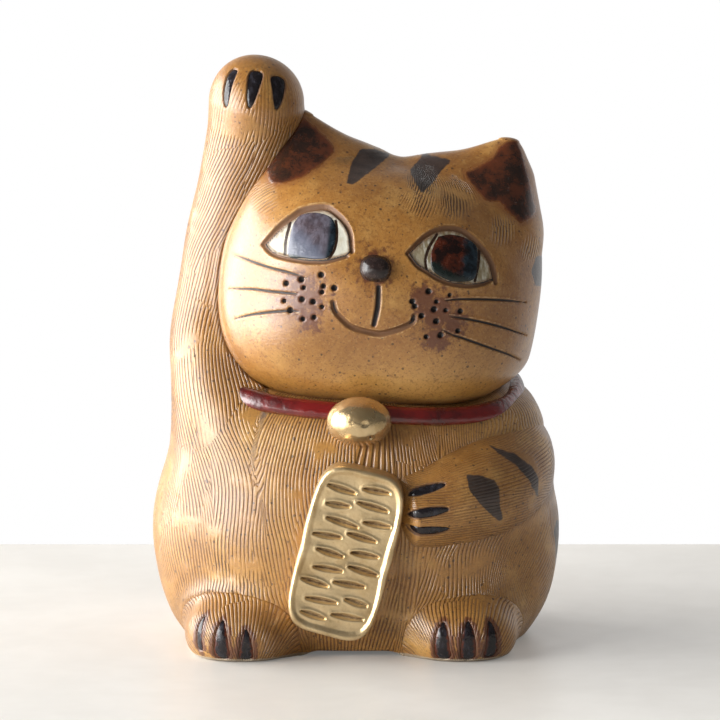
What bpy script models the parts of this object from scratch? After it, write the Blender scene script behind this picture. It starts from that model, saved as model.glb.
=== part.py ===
"""Lucky cat figurine in hand-built stoneware, as its separate clay, glaze and gilt pieces.

The hollow torso stands on its foot ring and carries the hollow head on its open top.
Arms, feet, ears, tail, collar, bell and coin are luted on, so each has a seat cut to fit
what carries it. The glazed eyes and claws lie in shallow pockets carved in the clay.
Units are metres, +Z is up, the cat faces -Y, and the origin is on the bench under its middle.
"Right" and "left" are the cat's own sides: its raised right arm is on -X.
"""
import math

import bmesh
import bpy
import numpy as np
from mathutils import Matrix, Vector

MM = 0.001

# Clay and glaze
CLEARANCE = 0.3 * MM  # dry gap between a piece and its seat
BODY_WALL = 6.0 * MM
HEAD_WALL = 5.5 * MM
POCKET_DEPTH = 1.6 * MM  # how deep an eye is carved into the head
GLAZE_SKIN = 0.3 * MM  # how far the iris glaze stands over the white

# Torso: height, half width, reach to the front, reach to the back
TORSO_STATIONS = (
    (-6.0 * MM, 43.0 * MM, 31.0 * MM, 33.0 * MM),
    (0.0 * MM, 49.2 * MM, 36.0 * MM, 38.5 * MM),
    (8.0 * MM, 54.6 * MM, 40.5 * MM, 42.0 * MM),
    (18.0 * MM, 57.9 * MM, 43.0 * MM, 43.8 * MM),
    (31.0 * MM, 59.2 * MM, 44.0 * MM, 44.4 * MM),
    (42.0 * MM, 57.9 * MM, 43.6 * MM, 43.6 * MM),
    (54.0 * MM, 54.6 * MM, 42.0 * MM, 41.6 * MM),
    (64.0 * MM, 52.0 * MM, 39.6 * MM, 39.4 * MM),
    (71.0 * MM, 49.6 * MM, 36.8 * MM, 36.8 * MM),
    (75.0 * MM, 45.0 * MM, 33.2 * MM, 33.6 * MM),
    (78.5 * MM, 35.0 * MM, 26.5 * MM, 27.5 * MM),
    (80.0 * MM, 25.0 * MM, 18.5 * MM, 20.0 * MM),
)
TORSO_SQUARENESS = 2.3  # exponent of the plan section, 2 is an ellipse
SHOULDER_START = 40.0 * MM  # above this the sections lean with the head
SHOULDER_TOP = 77.0 * MM
SHOULDER_LEAN_SIDE = -0.07  # rise per metre towards +X
SHOULDER_LEAN_BACK = 0.158  # rise per metre towards the back
BENCH_CUT = 20.0 * MM  # depth of the block that trims the foot flat
BENCH_WIDTH = 300.0 * MM
FRONT_ARCH_RISE = 1.5 * MM  # lift of the torso's lower edge between the feet
FRONT_ARCH_WIDTH = 30.0 * MM

# Head
HEAD_OFFSET_X = 6.3 * MM
HEAD_OFFSET_Y = -2.0 * MM
HEAD_ROLL = math.radians(8.0)  # the head tips towards its left ear
HEAD_HALF_WIDTH = 46.6 * MM
HEAD_UP = 36.2 * MM
HEAD_DOWN = 35.0 * MM
HEAD_FRONT = 40.0 * MM
HEAD_BACK = 38.5 * MM
HEAD_SINK = 11.0 * MM  # how far the jaw sits down into the open neck
CROWN_SQUARENESS = 2.4
JAW_SQUARENESS = 3.3
JAW_SLANT = 0.09  # rise of the jaw line per metre towards the left ear
DEPTH_SQUARENESS = 2.3
JAW_FULLNESS = 1.3  # what the depth's squareness gains from the middle down to the jaw
NECK_HOLE = 20.0 * MM  # radius of the opening under the head

# Ears: rise over the seat, reach towards the crown, reach outwards, half depth
EAR_SPREAD = 30.5 * MM
EAR_SHIFT = 1.8 * MM
EAR_SEAT = 16.5 * MM  # the ear's root lies this far under the head's surface
RIGHT_EAR_LIFT = 0.0 * MM
LEFT_EAR_LIFT = 1.6 * MM
EAR_STATIONS = (
    (0.0 * MM, 14.0 * MM, 10.6 * MM, 11.0 * MM),
    (6.0 * MM, 20.0 * MM, 12.4 * MM, 14.0 * MM),
    (13.0 * MM, 23.5 * MM, 11.2 * MM, 13.5 * MM),
    (20.0 * MM, 24.0 * MM, 9.2 * MM, 11.0 * MM),
    (23.0 * MM, 20.5 * MM, 7.9 * MM, 9.2 * MM),
    (26.0 * MM, 13.5 * MM, 6.2 * MM, 7.0 * MM),
    (29.0 * MM, 6.0 * MM, 4.2 * MM, 4.4 * MM),
    (31.0 * MM, 1.8 * MM, 2.4 * MM, 2.2 * MM),
)
EAR_TIP_RISE = 32.0 * MM

# Face, in the head's own frame: across from the middle, up from the middle. Lids: rise of the
# upper lid, sag of the lower lid, and how far their bow leans to the second corner, 1 is even
NOSE_PLACE = (-2.0 * MM, 8.9 * MM)
NOSE_WIDTH = 8.8 * MM
NOSE_HEIGHT = 7.6 * MM
NOSE_PROUD = 3.4 * MM
NOSE_ROOT = 2.0 * MM
RIGHT_EYE_CORNERS = ((-35.4 * MM, 10.3 * MM), (-9.4 * MM, 12.2 * MM))
RIGHT_EYE_LIDS = (12.2 * MM, -4.0 * MM, 1.25)
RIGHT_IRIS = (-21.6 * MM, 15.2 * MM)
LEFT_EYE_CORNERS = ((6.6 * MM, 14.9 * MM), (32.2 * MM, 9.2 * MM))
LEFT_EYE_LIDS = (9.8 * MM, -5.8 * MM, 1.05)
LEFT_IRIS = (20.5 * MM, 14.3 * MM)
IRIS_WIDTH = 13.2 * MM
IRIS_HEIGHT = 15.4 * MM

# Raised right arm: place of its middle line and radius, from shoulder to paw
RAISED_ARM_STATIONS = (
    (-33.0 * MM, -15.0 * MM, 54.0 * MM, 14.6 * MM),
    (-36.6 * MM, -12.5 * MM, 69.0 * MM, 15.4 * MM),
    (-39.8 * MM, -6.0 * MM, 84.0 * MM, 14.2 * MM),
    (-39.2 * MM, -0.8 * MM, 98.0 * MM, 13.4 * MM),
    (-36.5 * MM, 1.2 * MM, 115.0 * MM, 13.0 * MM),
    (-33.0 * MM, 0.6 * MM, 132.0 * MM, 12.9 * MM),
    (-30.6 * MM, -1.4 * MM, 146.0 * MM, 13.2 * MM),
    (-29.6 * MM, -3.0 * MM, 156.0 * MM, 14.0 * MM),
)
PAW_DOME = 14.0 * MM  # height of the rounded end over the last station
RAISED_CLAW_SPACING = 7.6 * MM
RAISED_CLAW_RISE = 5.6 * MM  # over the last station
RAISED_CLAW_LENGTH = 10.6 * MM
RAISED_CLAW_WIDTH = 4.6 * MM
CLAW_DEPTH = 1.7 * MM  # half the depth of a claw's glaze and of its groove
CLAW_PROUD = 0.35 * MM  # how far a claw's glaze stands over the paw

# Lowered left arm, from shoulder to paw: angles from the front, and the height, radius and depth
# under the belly's surface of its middle line
COIN_ARM_ANGLES = (86.0, 72.0, 56.0, 43.0, 31.0, 22.0)
COIN_ARM_STATIONS = (
    (52.5 * MM, 12.6 * MM, 10.6 * MM),
    (52.0 * MM, 13.4 * MM, 8.9 * MM),
    (49.8 * MM, 13.6 * MM, 6.4 * MM),
    (47.0 * MM, 12.8 * MM, 5.0 * MM),
    (44.4 * MM, 11.2 * MM, 4.2 * MM),
    (43.2 * MM, 9.8 * MM, 3.6 * MM),
)
COIN_PAW_DOME = 3.6 * MM
COIN_CLAW_ANGLE = 26.5
COIN_CLAW_HEIGHTS = (49.8 * MM, 42.8 * MM, 37.6 * MM)
COIN_CLAW_LENGTH = 9.4 * MM
COIN_CLAW_WIDTH = 3.0 * MM

# Feet
RIGHT_FOOT_X = -32.8 * MM
LEFT_FOOT_X = 30.0 * MM
FOOT_HALF_WIDTH = 16.6 * MM
FOOT_HEIGHT = 17.6 * MM
FOOT_HALF_LENGTH = 19.0 * MM
FOOT_FRONT = 49.0 * MM  # how far the toes reach in front of the origin
FOOT_CLAW_LENGTH = 11.0 * MM
FOOT_CLAW_DROP = 0.6 * MM  # their middle, over or under the middle of the foot
FOOT_CLAW_WIDTH = 3.6 * MM
FOOT_CLAW_SPACING = 7.3 * MM
RIGHT_CLAW_SHIFT = -5.2 * MM  # the claws sit towards the outer side of the foot
LEFT_CLAW_SHIFT = 2.4 * MM

# Tail, from root to tip: the same
TAIL_ANGLES = (168.0, 178.0, 190.0, 201.0, 207.0)
TAIL_STATIONS = (
    (9.0 * MM, 8.0 * MM, 4.4 * MM),
    (14.5 * MM, 8.2 * MM, 3.6 * MM),
    (21.0 * MM, 7.8 * MM, 3.2 * MM),
    (29.0 * MM, 7.0 * MM, 2.9 * MM),
    (38.0 * MM, 5.8 * MM, 2.6 * MM),
)
TAIL_DOME = 4.0 * MM

# Collar, bell and coin
COLLAR_DROP = 2.4 * MM  # its middle line lies this far under the crease of the neck
COLLAR_OUT = 1.0 * MM  # and this far outside the torso
COLLAR_UPRIGHT = 0.6  # how far the strap stands up from the slope it lies on, 1 is upright
COLLAR_HALF_THICKNESS = 2.2 * MM
COLLAR_HALF_WIDTH = 2.8 * MM
BELL_X = 0.9 * MM
BELL_DROP = 2.0 * MM  # its middle lies this far under the collar's middle line
BELL_WIDTH = 17.6 * MM
BELL_HEIGHT = 13.6 * MM
BELL_DEPTH = 14.0 * MM
BELL_OUT = 4.0 * MM  # and this far in front of it
BELL_BAND = 0.5 * MM  # how far the seam round the bell stands out
COIN_X = -2.8 * MM
COIN_Z = 32.0 * MM
COIN_LENGTH = 50.0 * MM
COIN_WIDTH = 26.8 * MM
COIN_THICKNESS = 4.2 * MM  # how far its face stands in front of the belly
COIN_ROOT = 3.0 * MM  # how far the slab runs back before its seat is cut
COIN_TILT = math.radians(14.0)
COIN_SQUARENESS = 4.4
COIN_EDGE = 1.1 * MM

# Facets
TORSO_SIDES, TORSO_RINGS = 40, 20
HEAD_SIDES, HEAD_RINGS = 36, 22
LIMB_SIDES, LIMB_RINGS = 16, 14
LID_POINTS = 9


def material(name, colour, roughness, metallic=0.0):
    """A Principled finish."""
    made = bpy.data.materials.new(name)
    made.use_nodes = True
    shader = made.node_tree.nodes["Principled BSDF"]
    shader.inputs["Base Color"].default_value = (*colour, 1.0)
    shader.inputs["Roughness"].default_value = roughness
    shader.inputs["Metallic"].default_value = metallic
    made.diffuse_color = (*colour, 1.0)
    return made


def add_object(name, shape, group, finish=None, frame=None):
    """Puts a bmesh or mesh in the scene as an object, under an empty if one is given."""
    if isinstance(shape, bmesh.types.BMesh):
        mesh = bpy.data.meshes.new(name)
        shape.to_mesh(mesh)
        shape.free()
    else:
        mesh = shape
    mesh.shade_smooth()
    obj = bpy.data.objects.new(name, mesh)
    group.objects.link(obj)
    if finish is not None:
        mesh.materials.append(finish)
    if frame is not None:
        obj.parent = frame
    return obj


def add_cutter(name, shape, frame=None):
    cutter = add_object(name, shape, cutters, frame=frame)
    cutter.hide_render = True
    cutter.display_type = "WIRE"
    return cutter


def boolean(obj, operation, other):
    modifier = obj.modifiers.new(operation.title() + " " + other.name, "BOOLEAN")
    modifier.operation = operation
    modifier.object = other


def cut(obj, *others):
    for other in others:
        boolean(obj, "DIFFERENCE", other)


def through_stations(stations, rows):
    """A smooth curve through rows of values: cubic steps whose slopes join the neighbours."""
    table = np.array(stations, float)
    place = np.linspace(0, len(table) - 1, rows)
    slopes = np.gradient(table, axis=0)
    first = np.minimum(place.astype(int), len(table) - 2)
    t = (place - first)[:, None]
    start, end = table[first], table[first + 1]
    slope_start, slope_end = slopes[first], slopes[first + 1]
    return (
        (2 * t**3 - 3 * t**2 + 1) * start
        + (t**3 - 2 * t**2 + t) * slope_start
        + (3 * t**2 - 2 * t**3) * end
        + (t**3 - t**2) * slope_end
    )


def loft(rings, close_first=True, close_last=True):
    """Skins rows of ring points, each with the same count, into one surface."""
    form = bmesh.new()
    rows = [[form.verts.new(point) for point in ring] for ring in rings]
    count = len(rows[0])
    for lower, upper in zip(rows, rows[1:]):
        for i in range(count):
            j = (i + 1) % count
            form.faces.new((lower[i], lower[j], upper[j], upper[i]))
    if close_first:
        form.faces.new(rows[0][::-1])
    if close_last:
        form.faces.new(rows[-1])
    bmesh.ops.recalc_face_normals(form, faces=form.faces)
    return form


def section_radius(angle, half_width, front, back, squareness):
    """Distance from the axis to a superellipse outline; angle 0 is the front, 90 degrees is +X."""
    across = np.abs(np.sin(angle)) / half_width
    reach = np.where(np.cos(angle) > 0, front, back)
    along = np.abs(np.cos(angle)) / reach
    return (across**squareness + along**squareness) ** (-1 / squareness)


def lean(x, y, z):
    """Height added to a torso section that leans with the head."""
    share = np.clip((z - SHOULDER_START) / (SHOULDER_TOP - SHOULDER_START), 0, 1)
    ease = share * share * (3 - 2 * share)
    return (SHOULDER_LEAN_SIDE * x + SHOULDER_LEAN_BACK * y) * ease


def torso_rings(grow=0.0):
    """Rings of the torso's outside, from under the bench to the open neck."""
    angle = np.linspace(0, 2 * math.pi, TORSO_SIDES, endpoint=False)
    rings = []
    for height, half_width, front, back in through_stations(TORSO_STATIONS, TORSO_RINGS):
        radius = section_radius(angle, half_width, front, back, TORSO_SQUARENESS) + grow
        x, y = radius * np.sin(angle), -radius * np.cos(angle)
        z = height + lean(x, y, height)
        rings.append(np.stack([x, y, z], axis=1))
    if grow:
        rings[-1][:, 2] += grow
    return rings


def torso_point(angle, height, out=0.0):
    """Point on the torso at an angle from the front in degrees and a height, moved out along the plan."""
    fine = through_stations(TORSO_STATIONS, 400)
    half_width, front, back = (np.interp(height, fine[:, 0], fine[:, i]) for i in (1, 2, 3))
    turn = math.radians(angle)
    radius = float(section_radius(turn, half_width, front, back, TORSO_SQUARENESS)) + out
    x, y = radius * math.sin(turn), -radius * math.cos(turn)
    return Vector((x, y, height + float(lean(x, y, height))))


def torso_normal(angle, height):
    """Outward direction of the torso's surface at an angle and height."""
    step_angle, step_height = 1.0, 1.0 * MM
    along = torso_point(angle + step_angle, height) - torso_point(angle - step_angle, height)
    up = torso_point(angle, height + step_height) - torso_point(angle, height - step_height)
    return along.cross(up).normalized()


def head_size(direction, grow):
    """Distance from the head's middle to its outside along each direction."""
    across, depth, up = direction.T
    vertical = np.where(up > 0, HEAD_UP, HEAD_DOWN) + grow
    outline = np.where(up > 0, CROWN_SQUARENESS, JAW_SQUARENESS)
    reach = np.where(depth < 0, HEAD_FRONT, HEAD_BACK) + grow
    fullness = DEPTH_SQUARENESS + JAW_FULLNESS * np.clip(-up, 0, 1) ** 2
    ring = (np.abs(across) / (HEAD_HALF_WIDTH + grow)) ** outline + (np.abs(up) / vertical) ** outline
    return (ring ** (fullness / outline) + (np.abs(depth) / reach) ** fullness) ** (-1 / fullness)


def head_form(grow=0.0):
    """The head's outside as a closed form in its own frame."""
    form = bmesh.new()
    bmesh.ops.create_uvsphere(form, u_segments=HEAD_SIDES, v_segments=HEAD_RINGS, radius=1.0)
    direction = np.array([v.co for v in form.verts])
    direction /= np.linalg.norm(direction, axis=1)[:, None]
    shaped = direction * head_size(direction, grow)[:, None]
    below = np.clip(-shaped[:, 2] / HEAD_DOWN, 0, 1)
    shaped[:, 2] += JAW_SLANT * shaped[:, 0] * below**2
    for vert, place in zip(form.verts, shaped):
        vert.co = place
    return form


def inside_head(point):
    """Whether a point of the world lies inside the head's outside form."""
    across, depth, up = head.matrix_basis.inverted() @ Vector(point)
    below = min(max(-up / HEAD_DOWN, 0.0), 1.0)
    place = np.array([[across, depth, up - JAW_SLANT * across * below**2]])
    distance = np.linalg.norm(place)
    return distance < head_size(place / distance, 0.0)[0]


def face_depth(across, up):
    """How far in front of the head's middle its upper face lies at a place given across and up."""
    outline = (abs(across) / HEAD_HALF_WIDTH) ** CROWN_SQUARENESS + (up / HEAD_UP) ** CROWN_SQUARENESS
    flat = outline ** (DEPTH_SQUARENESS / CROWN_SQUARENESS)
    return -HEAD_FRONT * (1 - flat) ** (1 / DEPTH_SQUARENESS)


def crown_height(across):
    """Height of the head's outline over its middle."""
    share = (abs(across) / HEAD_HALF_WIDTH) ** CROWN_SQUARENESS
    return HEAD_UP * (1 - share) ** (1 / CROWN_SQUARENESS)


def ellipsoid(half_sizes, sides, rings, squareness=2.0):
    """A rounded lump about the origin; above 2 the squareness flattens its faces."""
    form = bmesh.new()
    bmesh.ops.create_uvsphere(form, u_segments=sides, v_segments=rings, radius=1.0)
    for vert in form.verts:
        d = vert.co.normalized()
        size = sum(abs(d[i] / half_sizes[i]) ** squareness for i in range(3))
        vert.co = d * size ** (-1 / squareness)
    return form


def limb(places, radii, dome, grow=0.0):
    """A coil of clay along a line of places with a radius at each, rounded off at its end."""
    table = np.column_stack([np.array(places), np.array(radii)])
    rows = through_stations(table, LIMB_RINGS)
    end_run = (rows[-1, :3] - rows[-2, :3]) / np.linalg.norm(rows[-1, :3] - rows[-2, :3])
    cap = []
    for turn in np.radians((22.0, 42.0, 60.0, 75.0, 86.0)):
        centre = rows[-1, :3] + end_run * (dome + grow) * math.sin(turn)
        cap.append([*centre, (rows[-1, 3] + grow) * math.cos(turn) - grow])
    rows = np.vstack([rows, cap])
    runs = np.gradient(rows[:, :3], axis=0)
    turns = np.linspace(0, 2 * math.pi, LIMB_SIDES, endpoint=False)
    rings = []
    side = np.array([0.0, -1.0, 0.0])
    for row, run in zip(rows, runs):
        run = run / np.linalg.norm(run)
        side = side - run * side.dot(run)
        side /= np.linalg.norm(side)
        other = np.cross(run, side)
        ring = [row[:3] + (row[3] + grow) * (math.cos(a) * side + math.sin(a) * other) for a in turns]
        rings.append(ring)
    return loft(rings)


def raised_arm_form(grow=0.0):
    return limb(
        [station[:3] for station in RAISED_ARM_STATIONS],
        [station[3] for station in RAISED_ARM_STATIONS],
        PAW_DOME,
        grow,
    )


def limb_on_torso(angles, stations, dome, grow=0.0):
    """A coil laid along the torso, its middle line sunk under the torso's surface."""
    places = [torso_point(angle, height, -depth) for angle, (height, radius, depth) in zip(angles, stations)]
    return limb(places, [station[1] for station in stations], dome, grow)


def ear_form(side, lift):
    """An ear pinched from clay: rings that draw in to a tip, steep outside and long inside."""
    centre = side * EAR_SPREAD + EAR_SHIFT
    seat = crown_height(centre) - EAR_SEAT + lift
    angle = np.linspace(0, 2 * math.pi, 16, endpoint=False)
    rings = []
    for rise, inner, outer, half_depth in through_stations(EAR_STATIONS, 12):
        x = centre + side * np.cos(angle) * np.where(np.cos(angle) > 0, outer, inner)
        y = np.sin(angle) * half_depth
        rings.append(np.stack([x, y, np.full_like(x, seat + rise)], axis=1))
    tip = np.array([centre, 0.0, seat + EAR_TIP_RISE])
    rings.append(tip + (rings[-1] - tip) * (0.35, 0.35, 0.0))
    return loft(rings)


def lid_outline(corners, lids, grow):
    """Almond outline of an eye: two bowed lines between its corners, as a closed run of points."""
    first, last = (np.array(corner) for corner in corners)
    run = last - first
    length = np.linalg.norm(run)
    along = run / length
    square = np.array([-along[1], along[0]])
    share = np.linspace(0, 1, LID_POINTS)
    bow = np.sin(math.pi * share ** lids[2]) ** 0.85
    upper = [first + run * s + square * lids[0] * b for s, b in zip(share, bow)]
    lower = [first + run * s + square * lids[1] * b for s, b in zip(share, bow)]
    outline = np.array(lower + upper[-2:0:-1])
    middle = (first + last) / 2 + square * (lids[0] + lids[1]) / 2
    away = outline - middle
    return outline + away / np.linalg.norm(away, axis=1)[:, None] * grow


def iris_outline(place, grow):
    turn = np.linspace(0, 2 * math.pi, 20, endpoint=False)
    half = np.array([IRIS_WIDTH / 2 + grow, IRIS_HEIGHT / 2 + grow])
    return np.array(place) + np.stack([np.cos(turn), np.sin(turn)], axis=1) * half


def face_prism(outline):
    """A prism with this outline, across and up, that runs out through the front of the face."""
    back, front = -0.4 * HEAD_FRONT, -1.3 * HEAD_FRONT
    return loft([[(x, back, z) for x, z in outline], [(x, front, z) for x, z in outline]])


def claw_form(length, width, grow=0.0):
    """A claw's glaze: a slender lens, long along Z, with its face towards -Y."""
    half_sizes = (width / 2 + grow, CLAW_DEPTH + grow, length / 2 + grow)
    return ellipsoid(half_sizes, 8, 8)


def stand_on(point, normal, up):
    """Frame at a point of a surface: -Y along the normal, Z as near as it can be to up."""
    depth = -Vector(normal).normalized()
    rise = (Vector(up) - depth * Vector(up).dot(depth)).normalized()
    across = depth.cross(rise)
    turn = Matrix((across, depth, rise)).transposed().to_4x4()
    return Matrix.Translation(point) @ turn


def torso_shell():
    """Hollow torso, open below and at the neck, trimmed flat on the bench."""
    skin = loft(torso_rings(), close_first=False, close_last=False)
    shell = add_object("torso_shell", skin, parts, clay)
    wall = shell.modifiers.new("Wall", "SOLIDIFY")
    wall.thickness = BODY_WALL
    wall.offset = -1.0
    cut(shell, bench, front_arch, head_seat)
    return shell


def head_shell():
    """Hollow head, open under the jaw where it meets the neck."""
    form = head_form()
    hole = [f for f in form.faces if f.calc_center_median().to_2d().length < NECK_HOLE and f.normal.z < 0]
    bmesh.ops.delete(form, geom=hole, context="FACES")
    shell = add_object("head_shell", form, parts, clay, head)
    wall = shell.modifiers.new("Wall", "SOLIDIFY")
    wall.thickness = HEAD_WALL
    wall.offset = -1.0
    return shell


def eye(side_name, corners, lids, iris_place, shell):
    """One eye: the pocket carved in the head, the white glaze in it and the iris glaze on the white."""
    pocket = add_cutter(side_name + "_eye_pocket", face_prism(lid_outline(corners, lids, CLEARANCE)), head)
    cut(pocket, head_pocket_floor)
    cut(shell, pocket)

    white = add_object(side_name + "_eye_white", face_prism(lid_outline(corners, lids, 0.0)), parts, white_glaze, head)
    cut(white, head_white_floor)
    boolean(white, "INTERSECT", head_white_top)

    almond = add_cutter(side_name + "_eye_almond", face_prism(lid_outline(corners, lids, 0.0)), head)
    iris = add_object(side_name + "_iris", face_prism(iris_outline(iris_place, 0.0)), parts, iris_glaze, head)
    cut(iris, head_iris_floor)
    boolean(iris, "INTERSECT", head_iris_top)
    boolean(iris, "INTERSECT", almond)


def claws(name, owner, frames, length, width):
    """Glazed claws, each in its own pocket in the paw that carries it."""
    for number, frame in enumerate(frames, start=1):
        label = f"{name}_claw_{number}"
        claw = add_object(label, claw_form(length, width), parts, claw_glaze)
        claw.matrix_world = frame
        pocket = add_cutter(label + "_pocket", claw_form(length, width, CLEARANCE))
        pocket.matrix_world = frame
        cut(owner, pocket)


def foot_form(x, grow=0.0):
    form = ellipsoid(
        (FOOT_HALF_WIDTH + grow, FOOT_HALF_LENGTH + grow, FOOT_HEIGHT * 0.62 + grow), 20, 14, 2.3
    )
    place = Vector((x, -FOOT_FRONT + FOOT_HALF_LENGTH, FOOT_HEIGHT * 0.38))
    bmesh.ops.translate(form, verts=form.verts, vec=place)
    return form


def foot(side_name, x, claw_shift):
    """A foot pressed onto the torso's lower edge, with three claws across its toes."""
    piece = add_object(side_name + "_foot", foot_form(x), parts, clay)
    cut(piece, bench, torso_seat)
    half_height = FOOT_HEIGHT * 0.62
    middle = Vector((x, -FOOT_FRONT + FOOT_HALF_LENGTH, FOOT_HEIGHT * 0.38))
    frames = []
    for step in (-1, 0, 1):
        across = claw_shift + step * FOOT_CLAW_SPACING
        rise = FOOT_CLAW_DROP
        flat = (abs(across) / FOOT_HALF_WIDTH) ** 2.3 + (rise / half_height) ** 2.3
        reach = FOOT_HALF_LENGTH * (1 - flat) ** (1 / 2.3)
        point = middle + Vector((across, -reach, rise))
        normal = Vector(
            (
                np.sign(across) * (abs(across) / FOOT_HALF_WIDTH) ** 1.3 / FOOT_HALF_WIDTH,
                -((reach / FOOT_HALF_LENGTH) ** 1.3) / FOOT_HALF_LENGTH,
                (rise / half_height) ** 1.3 / half_height,
            )
        ).normalized()
        frames.append(stand_on(point - normal * (CLAW_DEPTH - CLAW_PROUD), normal, (0, 0, 1)))
    claws(side_name + "_foot", piece, frames, FOOT_CLAW_LENGTH, FOOT_CLAW_WIDTH)
    return piece


def raised_arm():
    """The right arm, luted up the side of the torso and head, with its paw at the top."""
    arm = add_object("raised_arm", raised_arm_form(), parts, clay)
    cut(arm, torso_seat, head_seat)
    x, y, z, radius = RAISED_ARM_STATIONS[-1]
    frames = []
    for step in (-1, 0, 1):
        across = step * RAISED_CLAW_SPACING
        rise = RAISED_CLAW_RISE
        reach = math.sqrt(radius**2 - across**2 - rise**2)
        normal = Vector((across, -reach, rise)).normalized()
        point = Vector((x, y, z)) + normal * (radius - CLAW_DEPTH + CLAW_PROUD)
        frames.append(stand_on(point, normal, (0.14, 0, 1)))
    claws("raised_paw", arm, frames, RAISED_CLAW_LENGTH, RAISED_CLAW_WIDTH)
    return arm


def coin_arm():
    """The left arm, laid across the belly so that its paw holds the coin's edge."""
    arm = add_object("coin_arm", limb_on_torso(COIN_ARM_ANGLES, COIN_ARM_STATIONS, COIN_PAW_DOME), parts, clay)
    cut(arm, torso_seat, collar_seat)
    table = np.array(COIN_ARM_STATIONS)[::-1]
    middle, radius, depth = (np.interp(COIN_CLAW_ANGLE, COIN_ARM_ANGLES[::-1], row) for row in table.T)
    frames = []
    for height in COIN_CLAW_HEIGHTS:
        normal = torso_normal(COIN_CLAW_ANGLE, height)
        reach = math.sqrt(radius**2 - (height - middle) ** 2)
        turn = Vector((0, 0, float((height - middle) / radius)))
        out = reach - CLAW_DEPTH + CLAW_PROUD
        point = torso_point(COIN_CLAW_ANGLE, height, -depth) + normal * out
        frames.append(stand_on(point, normal + turn, (1, 0, 0.0)))
    claws("coin_paw", arm, frames, COIN_CLAW_LENGTH, COIN_CLAW_WIDTH)
    return arm


def crease_height(angle):
    """Height at which the torso's surface dips under the jaw, at an angle from the front."""
    low, high = SHOULDER_START, TORSO_STATIONS[-1][0]
    for halving in range(20):
        middle = (low + high) / 2
        if inside_head(torso_point(angle, middle)):
            high = middle
        else:
            low = middle
    return low


def collar_line(angle):
    """Middle of the collar at an angle from the front, and its outward and upward directions."""
    height = crease_height(angle) - COLLAR_DROP
    rise = (torso_point(angle, height + MM) - torso_point(angle, height - MM)).normalized()
    upright = (rise * (1 - COLLAR_UPRIGHT) + Vector((0, 0, 1)) * COLLAR_UPRIGHT).normalized()
    along = torso_point(angle + 1, height) - torso_point(angle - 1, height)
    out = along.cross(upright).normalized()
    return torso_point(angle, height) + out * COLLAR_OUT, out, upright


def collar_form(grow=0.0):
    """The collar's strap of clay: a flattened coil bent round the crease of the neck."""
    section = np.linspace(0, 2 * math.pi, 10, endpoint=False)
    form = bmesh.new()
    rows = []
    for angle in np.linspace(0, 360, 48, endpoint=False):
        middle, out, upright = collar_line(angle)
        thickness, width = COLLAR_HALF_THICKNESS + grow, COLLAR_HALF_WIDTH + grow
        rows.append(
            [form.verts.new(middle + out * thickness * math.cos(s) + upright * width * math.sin(s)) for s in section]
        )
    for lower, upper in zip(rows, rows[1:] + rows[:1]):
        for i in range(len(section)):
            j = (i + 1) % len(section)
            form.faces.new((lower[i], lower[j], upper[j], upper[i]))
    bmesh.ops.recalc_face_normals(form, faces=form.faces)
    return form


def bell_form(grow=0.0):
    """A ball of clay pressed slightly flat, with a raised seam round its middle."""
    form = ellipsoid((BELL_WIDTH / 2 + grow, BELL_DEPTH / 2 + grow, BELL_HEIGHT / 2 + grow), 24, 16)
    for vert in form.verts:
        share = abs(vert.co.y) / (BELL_DEPTH / 2)
        if share < 0.22:
            vert.co += vert.co.normalized() * BELL_BAND
    place = collar_line(0.0)[0] + Vector((BELL_X, -BELL_OUT, -BELL_DROP))
    bmesh.ops.translate(form, verts=form.verts, vec=place)
    return form


def coin_form(grow=0.0):
    """The oblong coin: a superellipse slab with a rounded rim, leaning on the belly."""
    turn = np.linspace(0, 2 * math.pi, 36, endpoint=False)
    reach = section_radius(turn, COIN_WIDTH / 2, COIN_LENGTH / 2, COIN_LENGTH / 2, COIN_SQUARENESS)
    rings = []
    top = COIN_THICKNESS + COIN_ROOT
    levels = ((0.0, 0.0), (top - COIN_EDGE, 0.0), (top, COIN_EDGE))
    for level, draw_in in levels:
        size = reach - draw_in + grow
        out = level + (grow if draw_in else 0.0)
        rings.append([(r * math.sin(a), -out, r * math.cos(a)) for r, a in zip(size, turn)])
    form = loft(rings)
    angle = math.degrees(math.atan2(COIN_X, -torso_point(0.0, COIN_Z).y))
    normal = torso_normal(angle, COIN_Z)
    tilt = (math.sin(COIN_TILT), 0.0, math.cos(COIN_TILT))
    base = torso_point(angle, COIN_Z) - normal * COIN_ROOT
    form.transform(stand_on(base, normal, tilt))
    return form


# Scene
for existing in list(bpy.data.objects):
    bpy.data.objects.remove(existing)
parts = bpy.data.collections.new("Lucky cat figurine")
cutters = bpy.data.collections.new("Cutters")
for group in (parts, cutters):
    bpy.context.scene.collection.children.link(group)
cutters.hide_render = True

clay = material("honey stoneware", (0.45, 0.25, 0.09), 0.45)
white_glaze = material("white eye glaze", (0.80, 0.77, 0.68), 0.2)
iris_glaze = material("dark iris glaze", (0.06, 0.035, 0.035), 0.15)
claw_glaze = material("black claw glaze", (0.025, 0.02, 0.025), 0.2)
nose_glaze = material("dark nose glaze", (0.08, 0.06, 0.06), 0.25)
collar_glaze = material("red collar glaze", (0.35, 0.02, 0.02), 0.2)
gilt = material("old gold lustre", (0.72, 0.50, 0.18), 0.3, 1.0)

# The head's frame, carried by the torso's neck
head = bpy.data.objects.new("head frame", None)
parts.objects.link(head)
head_height = TORSO_STATIONS[-1][0] - HEAD_SINK + HEAD_DOWN
head.location = (HEAD_OFFSET_X, HEAD_OFFSET_Y, head_height)
head.rotation_euler = (0.0, HEAD_ROLL, 0.0)

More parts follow.
